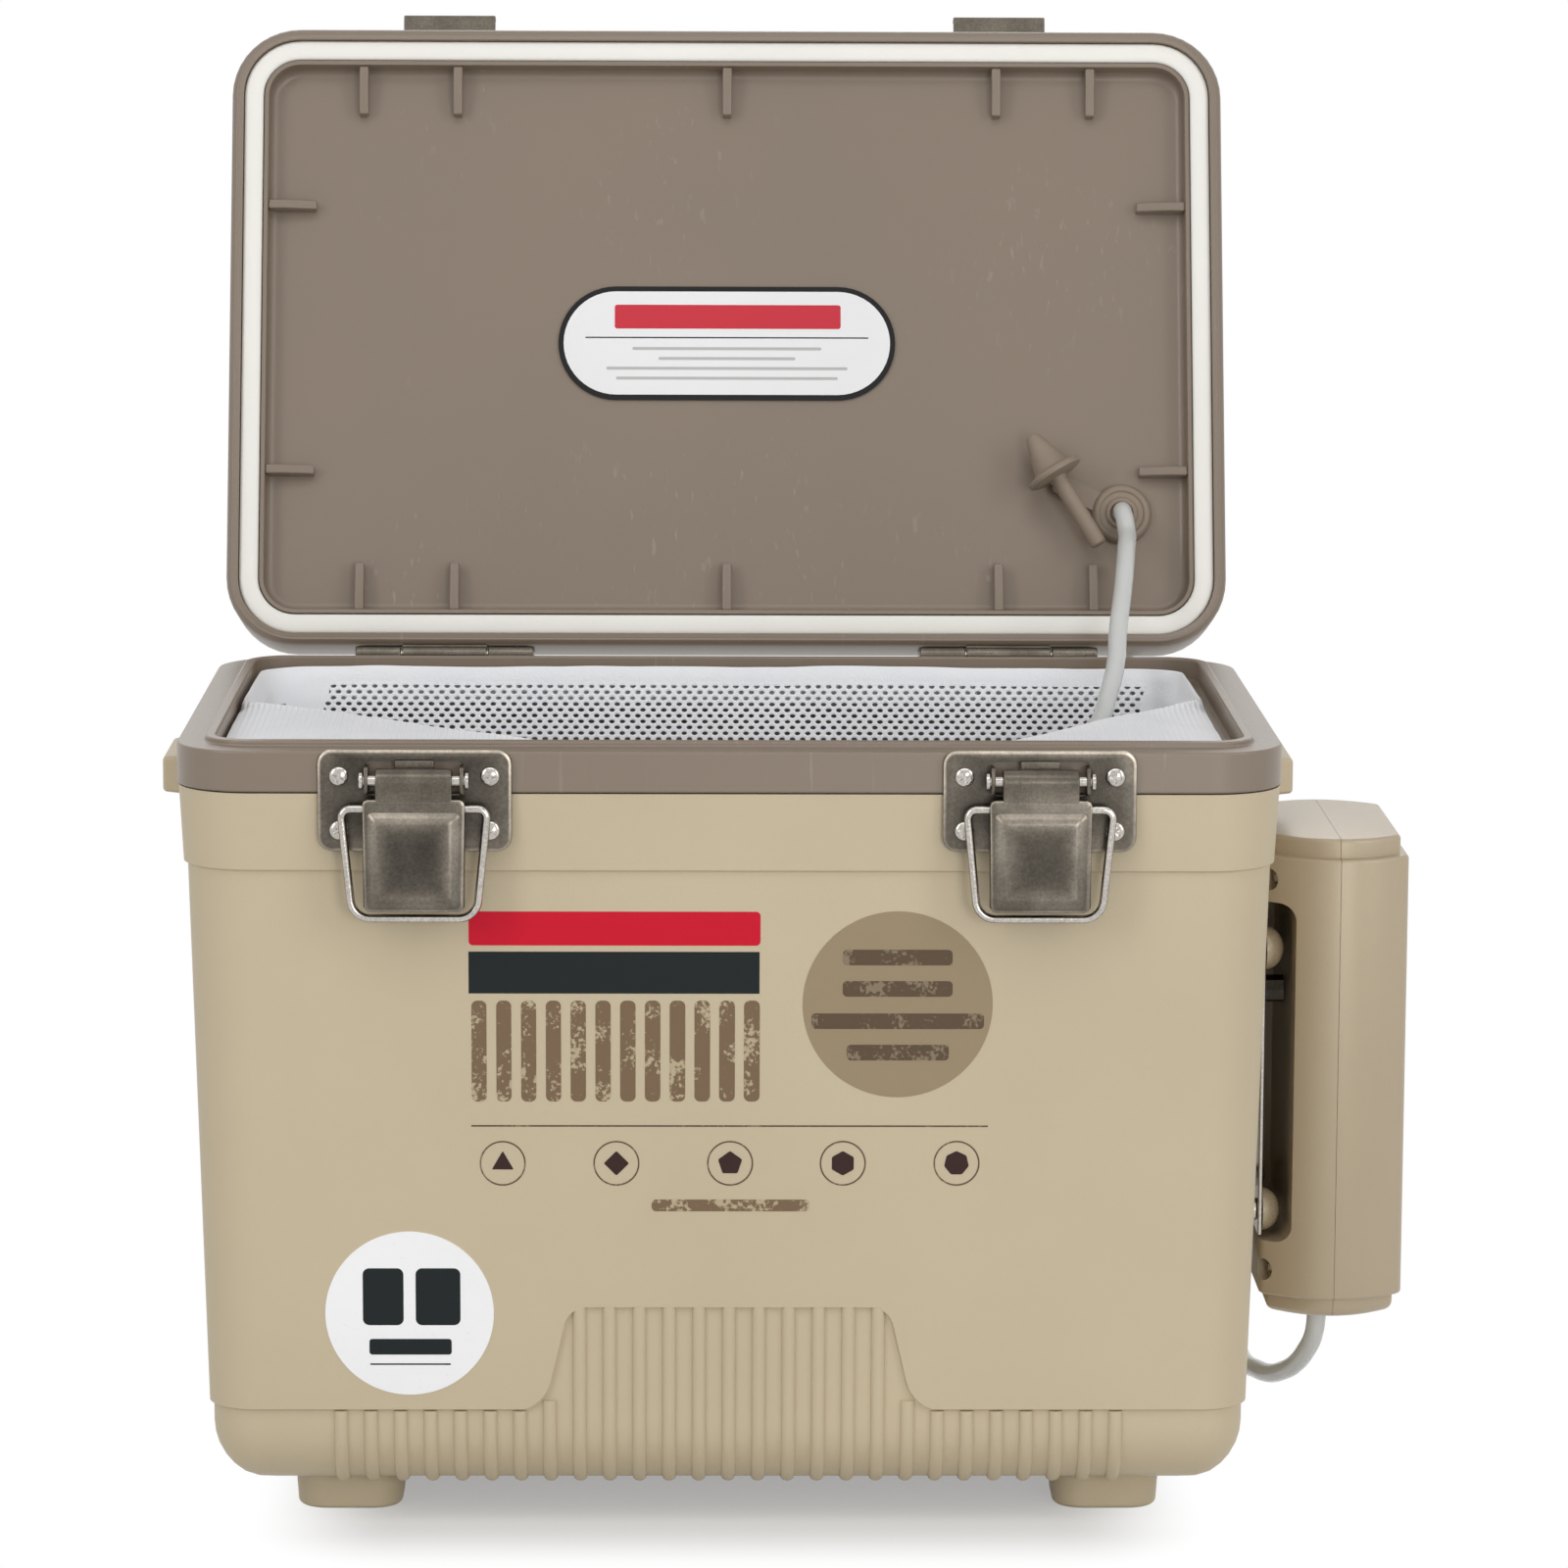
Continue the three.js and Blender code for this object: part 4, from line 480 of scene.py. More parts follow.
def moulded(name, color, roughness, size=1500, depth=0.2, scuffs=0.2, **values):
    """A moulded plastic or rubber finish with its own colour, gloss and grain."""
    material, tree, shader = new_material(name, color, roughness, **values)
    skin = add_node(tree, "ShaderNodeGroup", node_tree=moulded_skin)
    for socket, value in (("Color", color), ("Roughness", roughness - 0.07), ("Grain Size", size),
                          ("Grain Depth", depth), ("Scuffs", scuffs)):
        skin.inputs[socket].default_value = value
    color, roughness, normal = skin.outputs
    link_to(tree, shader.inputs, Base_Color=color, Roughness=roughness, Normal=normal)
    return material


wall_lean = math.atan((panel_inset - wall_top_inset) / (band_low - base_line))
shell_section = fillet(base_inset, stand_height, bottom_radius) + [
    (base_inset, base_line),
    (panel_inset, base_line + 3 * draft),
    (wall_top_inset, band_low - 3 * draft),
    (band_low_inset, band_low),
    (band_top_inset, band_top),
    (band_top_inset + shell_wall, band_top - draft),
    (base_inset + shell_wall, base_line),
] + fillet(base_inset + shell_wall, stand_height + shell_wall, bottom_radius - shell_wall)[::-1]

shell = made(lofted(shell_section), "insulated_box_shell")

arch_depth, arch_sink, arch_weld = 0.012, 0.00004, 0.00006
arch_side = Vector((arch_top_half - arch_base_half, arch_height)).normalized() * arch_flare
flare = geometry.interpolate_bezier(
    Vector((arch_base_half + arch_flare, 0)), Vector((arch_base_half + arch_flare * 0.4, 0)),
    Vector((arch_base_half, 0)) + arch_side * 0.4, Vector((arch_base_half, 0)) + arch_side, 10)
arch_outline = [(place.x, place.y) for place in flare] + [(arch_top_half, arch_height)]
arch_top = len(arch_outline) - 1
arch_outline += [(-x, z) for x, z in arch_outline[::-1]]
arch_place = Matrix.Translation((0, base_inset + arch_sink - half_depth, base_line))
arch_place = arch_place @ Matrix.Rotation(wall_lean, 4, "X")
arch_cutters = []
for turn in (0, math.pi):
    cutter = slab(arch_outline, arch_depth, arch_bend, rounded=(arch_top, arch_top + 1), segments=8)
    moved(cutter, Matrix.Translation(middle), Matrix.Rotation(turn, 4, "Z"), arch_place)
    arch_cutters.append(made(cutter, "arch_cutter"))
carve(shell, arch_cutters, arch_weld)
soften(shell, 0.0005, 2, 30)
tan_plastic = moulded("tan_plastic", linear(198, 183, 154), 0.5, size=1400, depth=0.25, scuffs=0.08)
show(shell, tan_plastic, "box", ["outer_shell"])

# Ribs: half-round bars moulded into the base and the arch, front and back, each with a blunt end.
rib_count, rib_pitch, rib_half, rib_relief = 27, 0.0083, 0.00195, 0.0014
bend_z = stand_height + bottom_radius
bend_y = base_inset + bottom_radius - half_depth


def rib(x):
    """One rib: an oval carried from under the bottom, round its edge and up the wall."""
    share = (arch_base_half - 0.001 - abs(x)) / (arch_base_half - arch_top_half)
    rise = arch_height * min(max(share, 0), 1)
    stations = [(bend_y + 0.004, stand_height, 0, 0.3), (bend_y + 0.002, stand_height, 0, 1)]
    for step in range(9):
        turn = math.pi / 2 * step / 8
        y = bend_y - bottom_radius * math.sin(turn)
        stations.append((y, bend_z - bottom_radius * math.cos(turn), turn, 1))
    stations.append((bend_y - bottom_radius, base_line, math.pi / 2, 1))
    for part in (0.3, 0.65, 1):
        if rise > 0.001:
            y = bend_y - bottom_radius - math.tan(wall_lean) * rise * part
            stations.append((y, base_line + rise * part, math.pi / 2, 1))
    bm = bmesh.new()
    rings = []
    for y, z, turn, size in stations:
        place = Matrix.Translation((x, y, z)) @ Matrix.Rotation(math.pi / 2 - turn, 4, "X")
        oval = Matrix.Diagonal((rib_half * size, rib_relief * size, 1, 1))
        ring = bmesh.ops.create_circle(bm, cap_ends=False, segments=12, radius=1, matrix=place @ oval)
        rings.append(edges_of(ring["verts"]))
    join_rings(bm, rings)
    return bm


def gathered(parts):
    """Several meshes as one."""
    whole = bmesh.new()
    for part in parts:
        kept = bpy.data.meshes.new("part")
        part.to_mesh(kept)
        part.free()
        whole.from_mesh(kept)
        bpy.data.meshes.remove(kept)
    return whole


for turn, end in ((0, "front"), (math.pi, "rear")):
    place = Matrix.Translation(middle) @ Matrix.Rotation(turn, 4, "Z")
    ribs = gathered([rib((number - (rib_count - 1) / 2) * rib_pitch) for number in range(rib_count)])
    show(made(moved(ribs, place), f"base_ribs_{end}", 50), tan_plastic, "box")

# Feet: four tan blocks with round corners, moulded under the base, a little narrower at the floor.
for end in ("front", "rear"):
    for side in ("left", "right"):
        low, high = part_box(f"foot_{end}_{side}")
        half = (high - low) / 2
        foot = slab(rectangle(-half.x, half.x, -half.y, half.y), half.z * 2, 0.009, segments=8)
        underside = Matrix.Translation(low + half - Vector((0, 0, half.z)))
        moved(foot, underside, Matrix.Rotation(-math.pi / 2, 4, "X"))
        under = [vert for vert in foot.verts if vert.co.z < low.z + half.z]
        bmesh.ops.scale(foot, vec=(0.95, 0.95, 1), verts=under, space=Matrix.Translation(-(low + half)))
        foot = soften(made(foot, f"base_foot_{end}_{side}"), 0.0014)
        show(foot, tan_plastic, "box", [f"foot_{end}_{side}"])

# Strap lugs: a tapered tan block on each side under the rim.
for side, sign in (("left", -1), ("right", 1)):
    low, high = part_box(f"strap_lug_{side}")
    half = (high - low) / 2
    bm = bmesh.new()
    block = Matrix.Translation(low + half) @ Matrix.Diagonal((*(high - low), 1))
    bmesh.ops.create_cube(bm, size=1, matrix=block)
    outer = [vert for vert in bm.verts if (vert.co.x - low.x - half.x) * sign > 0]
    bmesh.ops.scale(bm, vec=(1, 0.94, 0.86), verts=outer, space=Matrix.Translation(-(low + half)))
    lug = soften(made(bm, f"side_strap_lug_{side}"), 0.0011)
    show(lug, tan_plastic, "box", [f"strap_lug_{side}"])

# Liner and rim: one taupe moulding with a gloss. The rim caps the shell, the lip seals against the
# lid's gasket, and two steps inside carry the net.
ledge, rim_low_z = 0.2215, 0.2099
liner_wall = 0.0025
lip_inset, lip_inner, lip_height = 0.0078, 0.011, 0.0017
upper_inset, upper_z = 0.0153, 0.2165
lower_inset, lower_z = 0.0185, 0.2
floor_inset, floor_z, floor_radius = 0.024, 0.030, 0.009

liner_section = fillet(floor_inset - liner_wall, floor_z - liner_wall, floor_radius + liner_wall) + [
    (lower_inset - liner_wall, lower_z - liner_wall),
    (upper_inset - liner_wall, lower_z + liner_wall / 4),
    (upper_inset - liner_wall, rim_low_z + draft),
    (0, rim_low_z),
    (0, ledge - draft),
    (lip_inset, ledge),
    (lip_inset, ledge + lip_height - draft),
    (lip_inner, ledge + lip_height),
    (lip_inner, upper_z + draft),
    (upper_inset, upper_z),
    (upper_inset, lower_z + draft),
    (lower_inset, lower_z),
] + fillet(floor_inset, floor_z, floor_radius)[::-1]

liner = soften(made(lofted(liner_section), "liner_with_rim"), 0.0007, 3, 30)
taupe_plastic = moulded("taupe_plastic", linear(131, 116, 101), 0.38, size=1100, depth=0.12, scuffs=0.14,
                        Coat_Weight=0.2, Coat_Roughness=0.3)
show(liner, taupe_plastic, "box", ["liner_and_rim"])

# Net liner: a soft white bag that hangs from the upper step. Its hem stands on the step, and in front
# it cuts across both corners, with loose cloth outside it. Front, back and floor are open mesh.
net_steps, net_bend = 320, 0.012
net_rings = [
    # left, right, front, back, height, how far the corners are cut, how open the mesh is
    (-0.1362, 0.1362, -0.0802, 0.0802, 0.2100, 0.0, 0),
    (-0.1364, 0.1364, -0.0804, 0.0804, 0.2162, 0.0, 0),
    (-0.1402, 0.1375, -0.0845, 0.0800, 0.2176, 0.0, 0),
    (-0.1404, 0.1375, -0.0847, 0.0796, 0.2192, 0.0, 0),
    (-0.1400, 0.1370, -0.0842, 0.0790, 0.2212, 0.9, 0),
    (-0.1394, 0.1364, -0.0836, 0.0784, 0.2220, 1.0, 0),
    (-0.1388, 0.1358, -0.0830, 0.0778, 0.2216, 1.0, 0),
    (-0.1374, 0.1354, -0.0815, 0.0774, 0.2180, 1.0, 0),
    (-0.1362, 0.1346, -0.0802, 0.0768, 0.2152, 1.0, 1),
    (-0.1362, 0.1340, -0.0802, 0.0764, 0.2126, 0.9, 1),
    (-0.1350, 0.1334, -0.0796, 0.0760, 0.2105, 0.7, 1),
    (-0.1332, 0.1328, -0.0772, 0.0757, 0.2000, 0.35, 1),
    (-0.1328, 0.1326, -0.0768, 0.0752, 0.1850, 0.1, 1),
    (-0.1317, 0.1315, -0.0757, 0.0746, 0.1500, 0.0, 1),
    (-0.1301, 0.1299, -0.0741, 0.0734, 0.1000, 0.0, 1),
    (-0.1285, 0.1283, -0.0725, 0.0722, 0.0500, 0.0, 1),
    (-0.1262, 0.1256, -0.0712, 0.0700, 0.0370, 0.0, 1),
    (-0.1200, 0.1192, -0.0654, 0.0634, 0.0330, 0.0, 1),
]
# The two lines, in plan, along which the hem crosses the front corners
corner_cuts = [((-0.1400, 0.000), (-0.050, -0.084)), ((0.1362, 0.004), (0.074, -0.084))]


def net_plan(left, right, front, back, cut):
    """Points at even steps round a rectangle with bent corners, its front corners cut across."""
    width, depth = right - left - 2 * net_bend, back - front - 2 * net_bend
    bend = net_bend * math.pi / 2
    total = 2 * (width + depth) + 4 * bend
    centre = Vector(((left + right) / 2, (front + back) / 2))
    points = []
    for number in range(net_steps):
        way = (number / net_steps * total + depth / 2) % total
        for quarter, run in enumerate((depth, width, depth, width)):
            if way <= run + bend:
                break
            way -= run + bend
        along = min(way, run) - run / 2
        turn = max(way - run, 0) / net_bend
        side = Vector((width / 2 if run == depth else depth / 2, 0))
        place = Vector((side.x + net_bend * math.cos(turn), along + net_bend * math.sin(turn)))
        place = Matrix.Rotation(quarter * math.pi / 2, 2) @ place + centre
        for (x1, y1), (x2, y2) in corner_cuts:
            line = Vector((x2 - x1, y2 - y1)).normalized()
            inward = Vector((-line.y, line.x)) if x1 < 0 else Vector((line.y, -line.x))
            outside = -(place - Vector((x1, y1))).dot(inward)
            if outside > 0 and place.x * x1 > 0:
                place += inward * outside * cut
        points.append(place)
    return points


# Heights: the floor's bend, the end of the loose walls, the hem's lowest seam and its fold
net_floor, loose_top, seam_z, fold_z = 0.04, 0.2, 0.214, 0.216
bm = bmesh.new()
map_layer = bm.loops.layers.uv.new("net_map")
open_layer = bm.verts.layers.float.new("mesh_open")
rib_layer = bm.verts.layers.float.new("hem_ribs")
rings = []
for left, right, front, back, z, cut, is_open in net_rings:
    points = []
    for x, y in net_plan(left, right, front, back, cut):
        sag = noise.noise(Vector((x * 26, y * 26, z * 20)))
        sag += 0.5 * noise.noise(Vector((x * 70, y * 70, z * 60)))
        free = 0.0016 if z < loose_top else 0.0007
        droop = 0.0011 * (y / 0.08) if y > 0 and z > seam_z else 0
        ripple = sag * 0.0006 if z > fold_z else 0
        towards = -Vector((x, y)).normalized() * (abs(sag) * free if net_floor < z < fold_z else 0)
        points.append(at(x + towards.x, y + towards.y, z - droop + ripple))
    ring = ring_of(bm, points)
    rings.append(ring)
    for vert in {vert for edge in ring for vert in edge.verts}:
        x, y = vert.co.x - middle.x, vert.co.y - middle.y
        between_sides = -0.1205 < x < 0.1255
        vert[open_layer] = float(bool(is_open) and (between_sides or z < net_floor))
        vert[rib_layer] = 1.0 if 0.2125 < z < 0.2225 and y < 0.01 and len(rings) > 4 else 0.0
join_rings(bm, rings)
caps = [face for face in bm.faces if len(face.verts) > 4]
mouth = max(caps, key=lambda face: face.calc_center_median().z)
bmesh.ops.delete(bm, geom=[mouth], context="FACES_ONLY")
for face in bm.faces:
    flat = abs(face.normal.z) > 0.7 or len(face.verts) > 4
    across = abs(face.normal.x) > abs(face.normal.y)
    for loop in face.loops:
        place = loop.vert.co
        upright = (place.y if across else place.x, place.z)
        loop[map_layer].uv = (place.x, place.y) if flat else upright
net = made(bm, "net_bag", 70)

net_cloth, tree, shader = new_material("net_cloth", linear(240, 241, 243), 0.85, Sheen_Weight=0.15)
coords = add_node(tree, "ShaderNodeUVMap", uv_map="net_map").outputs["UV"]
opened = add_node(tree, "ShaderNodeAttribute", attribute_name="mesh_open").outputs["Fac"]
ribbed = add_node(tree, "ShaderNodeAttribute", attribute_name="hem_ribs").outputs["Fac"]
hole_pitch, row_pitch, hole_radius, rib_spacing, thread = 0.0031, 0.0035, 0.00087, 0.0017, 0.0006


def net_group():
    """Open mesh: two interleaved grids of round holes, as a mask that is one on the cloth."""
    group, given, out = new_group(
        "net_holes", {"Place": "Vector", "Open": "Float"}, {"Cloth": "Float", "Edge": "Float"})
    nearest = []
    for shift in (0.0, 0.5):
        grid = vector_calc(group, "DIVIDE", given["Place"], (hole_pitch, row_pitch, 1.0))
        grid = vector_calc(group, "FRACTION", vector_calc(group, "ADD", grid, (shift, shift, 0)))
        grid = vector_calc(group, "SUBTRACT", grid, (0.5, 0.5, 0))
        grid = vector_calc(group, "MULTIPLY", grid, (hole_pitch, hole_pitch * math.sqrt(3), 0))
        nearest.append(vector_calc(group, "LENGTH", grid))
    wobble = noise_at(group, given["Place"], 300.0)
    wobble = remap(group, wobble, 0.0, 1.0, -hole_radius / 4, hole_radius / 4)
    near = calc(group, "ADD", calc(group, "MINIMUM", *nearest), wobble)
    hole = remap(group, near, hole_radius * 0.92, hole_radius, 1.0, 0.0)
    gap = calc(group, "MULTIPLY", hole, calc(group, "GREATER_THAN", given["Open"], 0.5))
    link_to(group, out, Cloth=calc(group, "SUBTRACT", 1.0, gap),
            Edge=remap(group, near, hole_radius, hole_radius * 1.6))
    return group


holes = add_node(tree, "ShaderNodeGroup", {"Place": coords, "Open": opened}, node_tree=net_group()).outputs
along = add_node(tree, "ShaderNodeSeparateXYZ", {0: coords}).outputs[0]
wave = calc(tree, "SINE", calc(tree, "MULTIPLY", along, math.tau / rib_spacing))
wave = calc(tree, "MULTIPLY", calc(tree, "MULTIPLY", wave, ribbed), 1.8)
weave = add_node(tree, "ShaderNodeTexVoronoi", {"Vector": coords, "Scale": 1 / thread}).outputs["Distance"]
height = calc(tree, "MULTIPLY_ADD", weave, 0.5, wave)
height = calc(tree, "MULTIPLY_ADD", holes["Edge"], opened, height)
# Painted shade of folds: clouds of faintly bluish tone over the white cloth.
painted_fold_shade = mixed_color(tree, noise_at(tree, coords, 45.0, 3.0), linear(238, 240, 245), linear(252, 252, 253))
link_to(tree, shader.inputs, Alpha=holes["Cloth"], Base_Color=painted_fold_shade,
        Normal=bumped(tree, height, 0.45, 0.0003))
show(net, net_cloth, "box", ["net_liner"])

# Lid: a taupe shell and an inner panel with a sunk field, drawn closed on the box and then turned
# open about the hinges.
lid_face, lid_height, lid_open = 0.222, 0.026, math.radians(107.2)
lid_inset, lid_wall, lid_round, lid_draft = 0.0001, 0.0025, 0.0038, 0.0006
panel_edge, panel_top = 0.0022, 0.232
channel_out, channel_in, channel_depth = 0.0037, 0.01, 0.005
ridge_face, recess_edge, recess_wall, recess_round = 0.2235, 0.0113, 0.0116, 0.0027
recess_floor = 0.230
lid_top = lid_face + lid_height
hinge_y = 0.0993
to_hinge = Matrix.Translation(at(0, hinge_y, lid_face))
lid_turn = to_hinge @ Matrix.Rotation(-lid_open, 4, "X") @ to_hinge.inverted()

lid_section = fillet(lid_inset + lid_draft, lid_top, lid_round, way=-1) + [
    (lid_inset, lid_face + 0.002),
    (lid_inset + 0.0006, lid_face + 0.0007),
    (lid_inset + 0.0016, lid_face),
    (lid_inset + lid_wall, lid_face + draft),
    (lid_inset + lid_wall, lid_top - lid_wall),
]
lid_shell = made(moved(lofted(lid_section), lid_turn), "lid_outer_shell")
show(soften(lid_shell, 0.0002, 2, 40), taupe_plastic, "lid", ["lid_shell"])

panel_section = [
    (panel_edge, panel_top),
    (panel_edge, lid_face + draft / 2),
    (channel_out, lid_face - draft / 2),
    (channel_out, lid_face + channel_depth),
    (channel_in, lid_face + channel_depth - draft),
    (channel_in, ridge_face),
    (recess_edge, ridge_face + draft),
] + fillet(recess_wall, recess_floor, recess_round, way=-1)[::-1]
panel = made(moved(lofted(panel_section), lid_turn), "lid_inner_panel")
show(soften(panel, 0.0002, 2, 40), taupe_plastic, "lid", ["lid_panel"])

# Gussets: short ribs that stiffen the sunk field's wall, five above and below and two at each side.
gusset_width, gusset_length, gusset_root, gusset_tip = 0.0029, 0.015, 0.0055, 0.004


def gusset(x, y, turn):
    """One short rib, its root on the wall and its foot just inside the panel."""
    bm = slab([(0, 0.0005), (0, -gusset_root), (gusset_length * 0.35, -gusset_root),
               (gusset_length, -gusset_tip), (gusset_length, 0.0005)], gusset_width)
    return moved(bm, Matrix.Translation(at(x, y, recess_floor)), Matrix.Rotation(turn, 4, "Z"),
                 Matrix.Translation((gusset_width / 2, 0, 0)), Matrix.Rotation(-math.pi / 2, 4, "Z"))


wall_x, wall_y = half_width - recess_edge, half_depth - recess_edge
gussets = []
for way in (1, -1):
    for share in (-0.735, -0.545, 0, 0.545, 0.735):
        gussets.append(gusset(share * half_width, way * wall_y, 0 if way > 0 else math.pi))
    for share in (-0.43, 0.43):
        gussets.append(gusset(way * wall_x, share * half_depth, -way * math.pi / 2))
gussets = soften(made(moved(gathered(gussets), lid_turn), "lid_gussets"), 0.0006)
show(gussets, taupe_plastic, "lid")

# Gasket: a soft white band in the lid's channel, low and round on top.
gasket_out, gasket_width, gasket_seat = 0.0038, 0.0059, 0.2266
gasket_crest, gasket_round = 0.2229, 0.0016
gasket_section = [(gasket_out, gasket_seat)]
for step in range(13):
    turn = math.pi * step / 12
    inset = gasket_out + gasket_width / 2 * (1 - math.cos(turn))
    gasket_section.append((inset, gasket_crest + gasket_round - gasket_round * math.sin(turn) ** 0.5))
gasket_section.append((gasket_out + gasket_width, gasket_seat - draft))
seal = made(moved(lofted(gasket_section, closed=True), lid_turn), "lid_seal")
gasket_rubber = moulded("gasket_rubber", linear(244, 242, 235), 0.6, size=2500, depth=0.15, scuffs=0.0)
show(seal, gasket_rubber, "lid", ["lid_gasket"])

# Label plate: a white oval with a black border on the lid's panel. Plain bars stand in for its print.
label_half, label_height, label_thick, label_y = 0.0518, 0.0356, 0.0006, 0.001
label_border = 0.0016
to_lid = Matrix.Translation(at(0, label_y, recess_floor - 0.0003)) @ Matrix.Rotation(math.pi / 2, 4, "X")


def lid_plate(name, outline, thickness, radius, material, stands_for=()):
    """A flat plate on the panel, its outline in x and up the open lid."""
    bm = moved(slab(outline, thickness, radius, segments=12), lid_turn, to_lid)
    show(made(bm, name), material, "lid", stands_for)


label_black = moulded("label_black", linear(28, 27, 28), 0.5, size=900, depth=0.05, scuffs=0.05,
                      Specular_IOR_Level=0.2)
label_white = moulded("label_white", linear(240, 240, 240), 0.35, size=900, depth=0.05, scuffs=0.0)
label_red = moulded("label_red", linear(200, 32, 52), 0.4, size=900, depth=0.05, scuffs=0.0)
label_grey = moulded("label_grey", linear(186, 184, 184), 0.4, size=900, depth=0.05, scuffs=0.0)
half_high = label_height / 2
lid_plate("label_border", rectangle(-label_half, label_half, -half_high, half_high), label_thick * 0.8,
          half_high - 1e-5, label_black, ["lid_label"])
inner_half, inner_high = label_half - label_border, half_high - label_border
lid_plate("label_plate", rectangle(-inner_half, inner_half, -inner_high, inner_high), label_thick,
          inner_high - 1e-5, label_white)
lid_plate("label_red_bar", rectangle(-0.0345, 0.035, 0.0045, 0.012), label_thick * 1.08, 0.0008, label_red)
lid_plate("label_rule", rectangle(-0.0435, 0.0435, 0.0015, 0.0019), label_thick * 1.08, 0, label_black)
for number, reach in enumerate((0.029, 0.021, 0.037, 0.034)):
    z = -0.0022 - number * 0.0031
    lid_plate(f"label_grey_bar_{number + 1}", rectangle(-reach, reach, z, z + 0.0009), label_thick * 1.08,
              0.0003, label_grey)

# Grommet and plug, one rubber moulding: a flanged sleeve that the hose goes through, a strap, and the
# plug that closes the hole when the hose is out, lying on its side.
grommet_x, grommet_y = 0.121, half_depth - 0.0423
plug_x, plug_y = 0.1008, half_depth - 0.0522
plug_lean, plug_flange = math.radians(31.3), 0.009
rubber_seat = recess_floor - 0.0003


def turned(profile, steps=32):
    """A shape spun round the z axis from pairs of radius and height."""
    bm = bmesh.new()
    line = [bmesh.ops.create_vert(bm, co=(r, 0, z))["vert"][0] for r, z in profile]
    edges = [bm.edges.new(pair) for pair in zip(line, line[1:])]
    bmesh.ops.spin(bm, geom=line + edges, cent=(0, 0, 0), axis=(0, 0, 1), angle=math.tau, steps=steps,
                   use_merge=True)
    return bm


grommet = turned([
    (0.0033, 0.0305), (0.0033, -0.0022), (0.0036, -0.0026), (0.0046, -0.0026), (0.0049, -0.0022),
    (0.0052, -0.0019), (0.0066, -0.0019), (0.0069, -0.0023), (0.0076, -0.0025), (0.0084, -0.0022),
    (0.0091, -0.0012), (0.0093, 0),
])
moved(grommet, Matrix.Translation(at(grommet_x, grommet_y, rubber_seat)))
plug = turned([
    (0, -0.0247), (0.0018, -0.0247), (0.0024, -0.0242), (0.0026, -0.023), (0.0025, -0.002), (0.0029, -0.0004),
    (0.0072, 0), (0.0088, 0.0006), (0.009, 0.0014), (0.0086, 0.0022), (0.0064, 0.0027), (0.0057, 0.0034),
    (0.0038, 0.0100), (0.0027, 0.0132), (0.0018, 0.0146), (0, 0.0149),
])
along_plug = Matrix.Rotation(math.pi - plug_lean, 4, "Z") @ Matrix.Rotation(-math.pi / 2, 4, "X")
moved(plug, Matrix.Translation(at(plug_x, plug_y, rubber_seat - plug_flange)), along_plug)
strap_length = math.hypot(grommet_x - plug_x, grommet_y - plug_y)
strap = slab(rectangle(0, strap_length, -0.003, 0.003), 0.0014, 0.0012)
strap_turn = Matrix.Rotation(math.atan2(grommet_y - plug_y, grommet_x - plug_x), 4, "Z")
strap_turn = strap_turn @ Matrix.Rotation(math.pi / 2, 4, "X")
moved(strap, Matrix.Translation(at(plug_x, plug_y, rubber_seat)), strap_turn)
grommet_rubber = moulded("grommet_rubber", linear(139, 124, 108), 0.5, size=1800, depth=0.15, scuffs=0.15)
rubber = made(moved(gathered([grommet, plug, strap]), lid_turn), "grommet_with_plug")
show(rubber, grommet_rubber, "lid", ["hose_grommet"])

# Hinges: two stainless butt hinges on the back. The lower leaf rides on the box with the outer
# knuckles and the pin, the upper leaf on the lid with the middle knuckle.
hinge_x, leaf_half, leaf_height, leaf_thick = 0.08575, 0.027, 0.017, 0.001
leaf_offset, neck_length, rod_radius = 0.0113, 0.0088, 0.0011
knuckle_half, knuckle_gap, knuckle_radius = 0.0128, 0.0004, 0.0023


def steel_group():
    """Worked stainless steel: fine speckle and clouds of tarnish."""
    group, given, out = new_group(
        "worked_steel", {"Color": "Color", "Roughness": "Float", "Tarnish": "Float"}, finish_results)
    coords = add_node(group, "ShaderNodeTexCoord").outputs["Object"]
    specks = noise_at(group, coords, 1300.0, 3.0)
    dull = remap(group, noise_at(group, coords, 110.0, 4.0), 0.35, 0.65)
    dull = calc(group, "MULTIPLY", dull, given["Tarnish"])
    share = calc(group, "MULTIPLY", calc(group, "SUBTRACT", 1.0, dull),
                 remap(group, specks, 0.3, 0.75, 0.84, 1.2))
    rough = calc(group, "MULTIPLY_ADD", dull, 0.3, given["Roughness"])
    link_to(group, out, Color=scaled(group, given["Color"], share),
            Roughness=calc(group, "MULTIPLY_ADD", specks, 0.1, rough),
            Normal=bumped(group, specks, 0.12, 0.0001))
    return group


worked_steel = steel_group()


def metal(name, color, roughness, tarnish, paints_light=False):
    """A worked steel. One that paints light scales its colour by a value on the piece's points: painted shade
    over a pressed field, painted highlights on a rolled edge."""
    material, tree, shader = new_material(name, color, roughness, Metallic=1.0)
    steel = add_node(tree, "ShaderNodeGroup", node_tree=worked_steel)
    for socket, value in (("Color", color), ("Roughness", roughness - 0.05), ("Tarnish", tarnish)):
        steel.inputs[socket].default_value = value
    toned = steel.outputs["Color"]
    if paints_light:
        # Painted light: the cube of the piece's value scales the colour from 0.45, painted shade, to 4,
        # painted highlights.
        painted_light = add_node(tree, "ShaderNodeAttribute", attribute_name="painted_light").outputs["Fac"]
        painted_light = remap(tree, calc(tree, "POWER", painted_light, 3.0), 0.0, 1.0, 0.45, 4.0)
        toned = scaled(tree, toned, painted_light)
    link_to(tree, shader.inputs, Base_Color=toned, Roughness=steel.outputs["Roughness"],
            Normal=steel.outputs["Normal"])
    return material


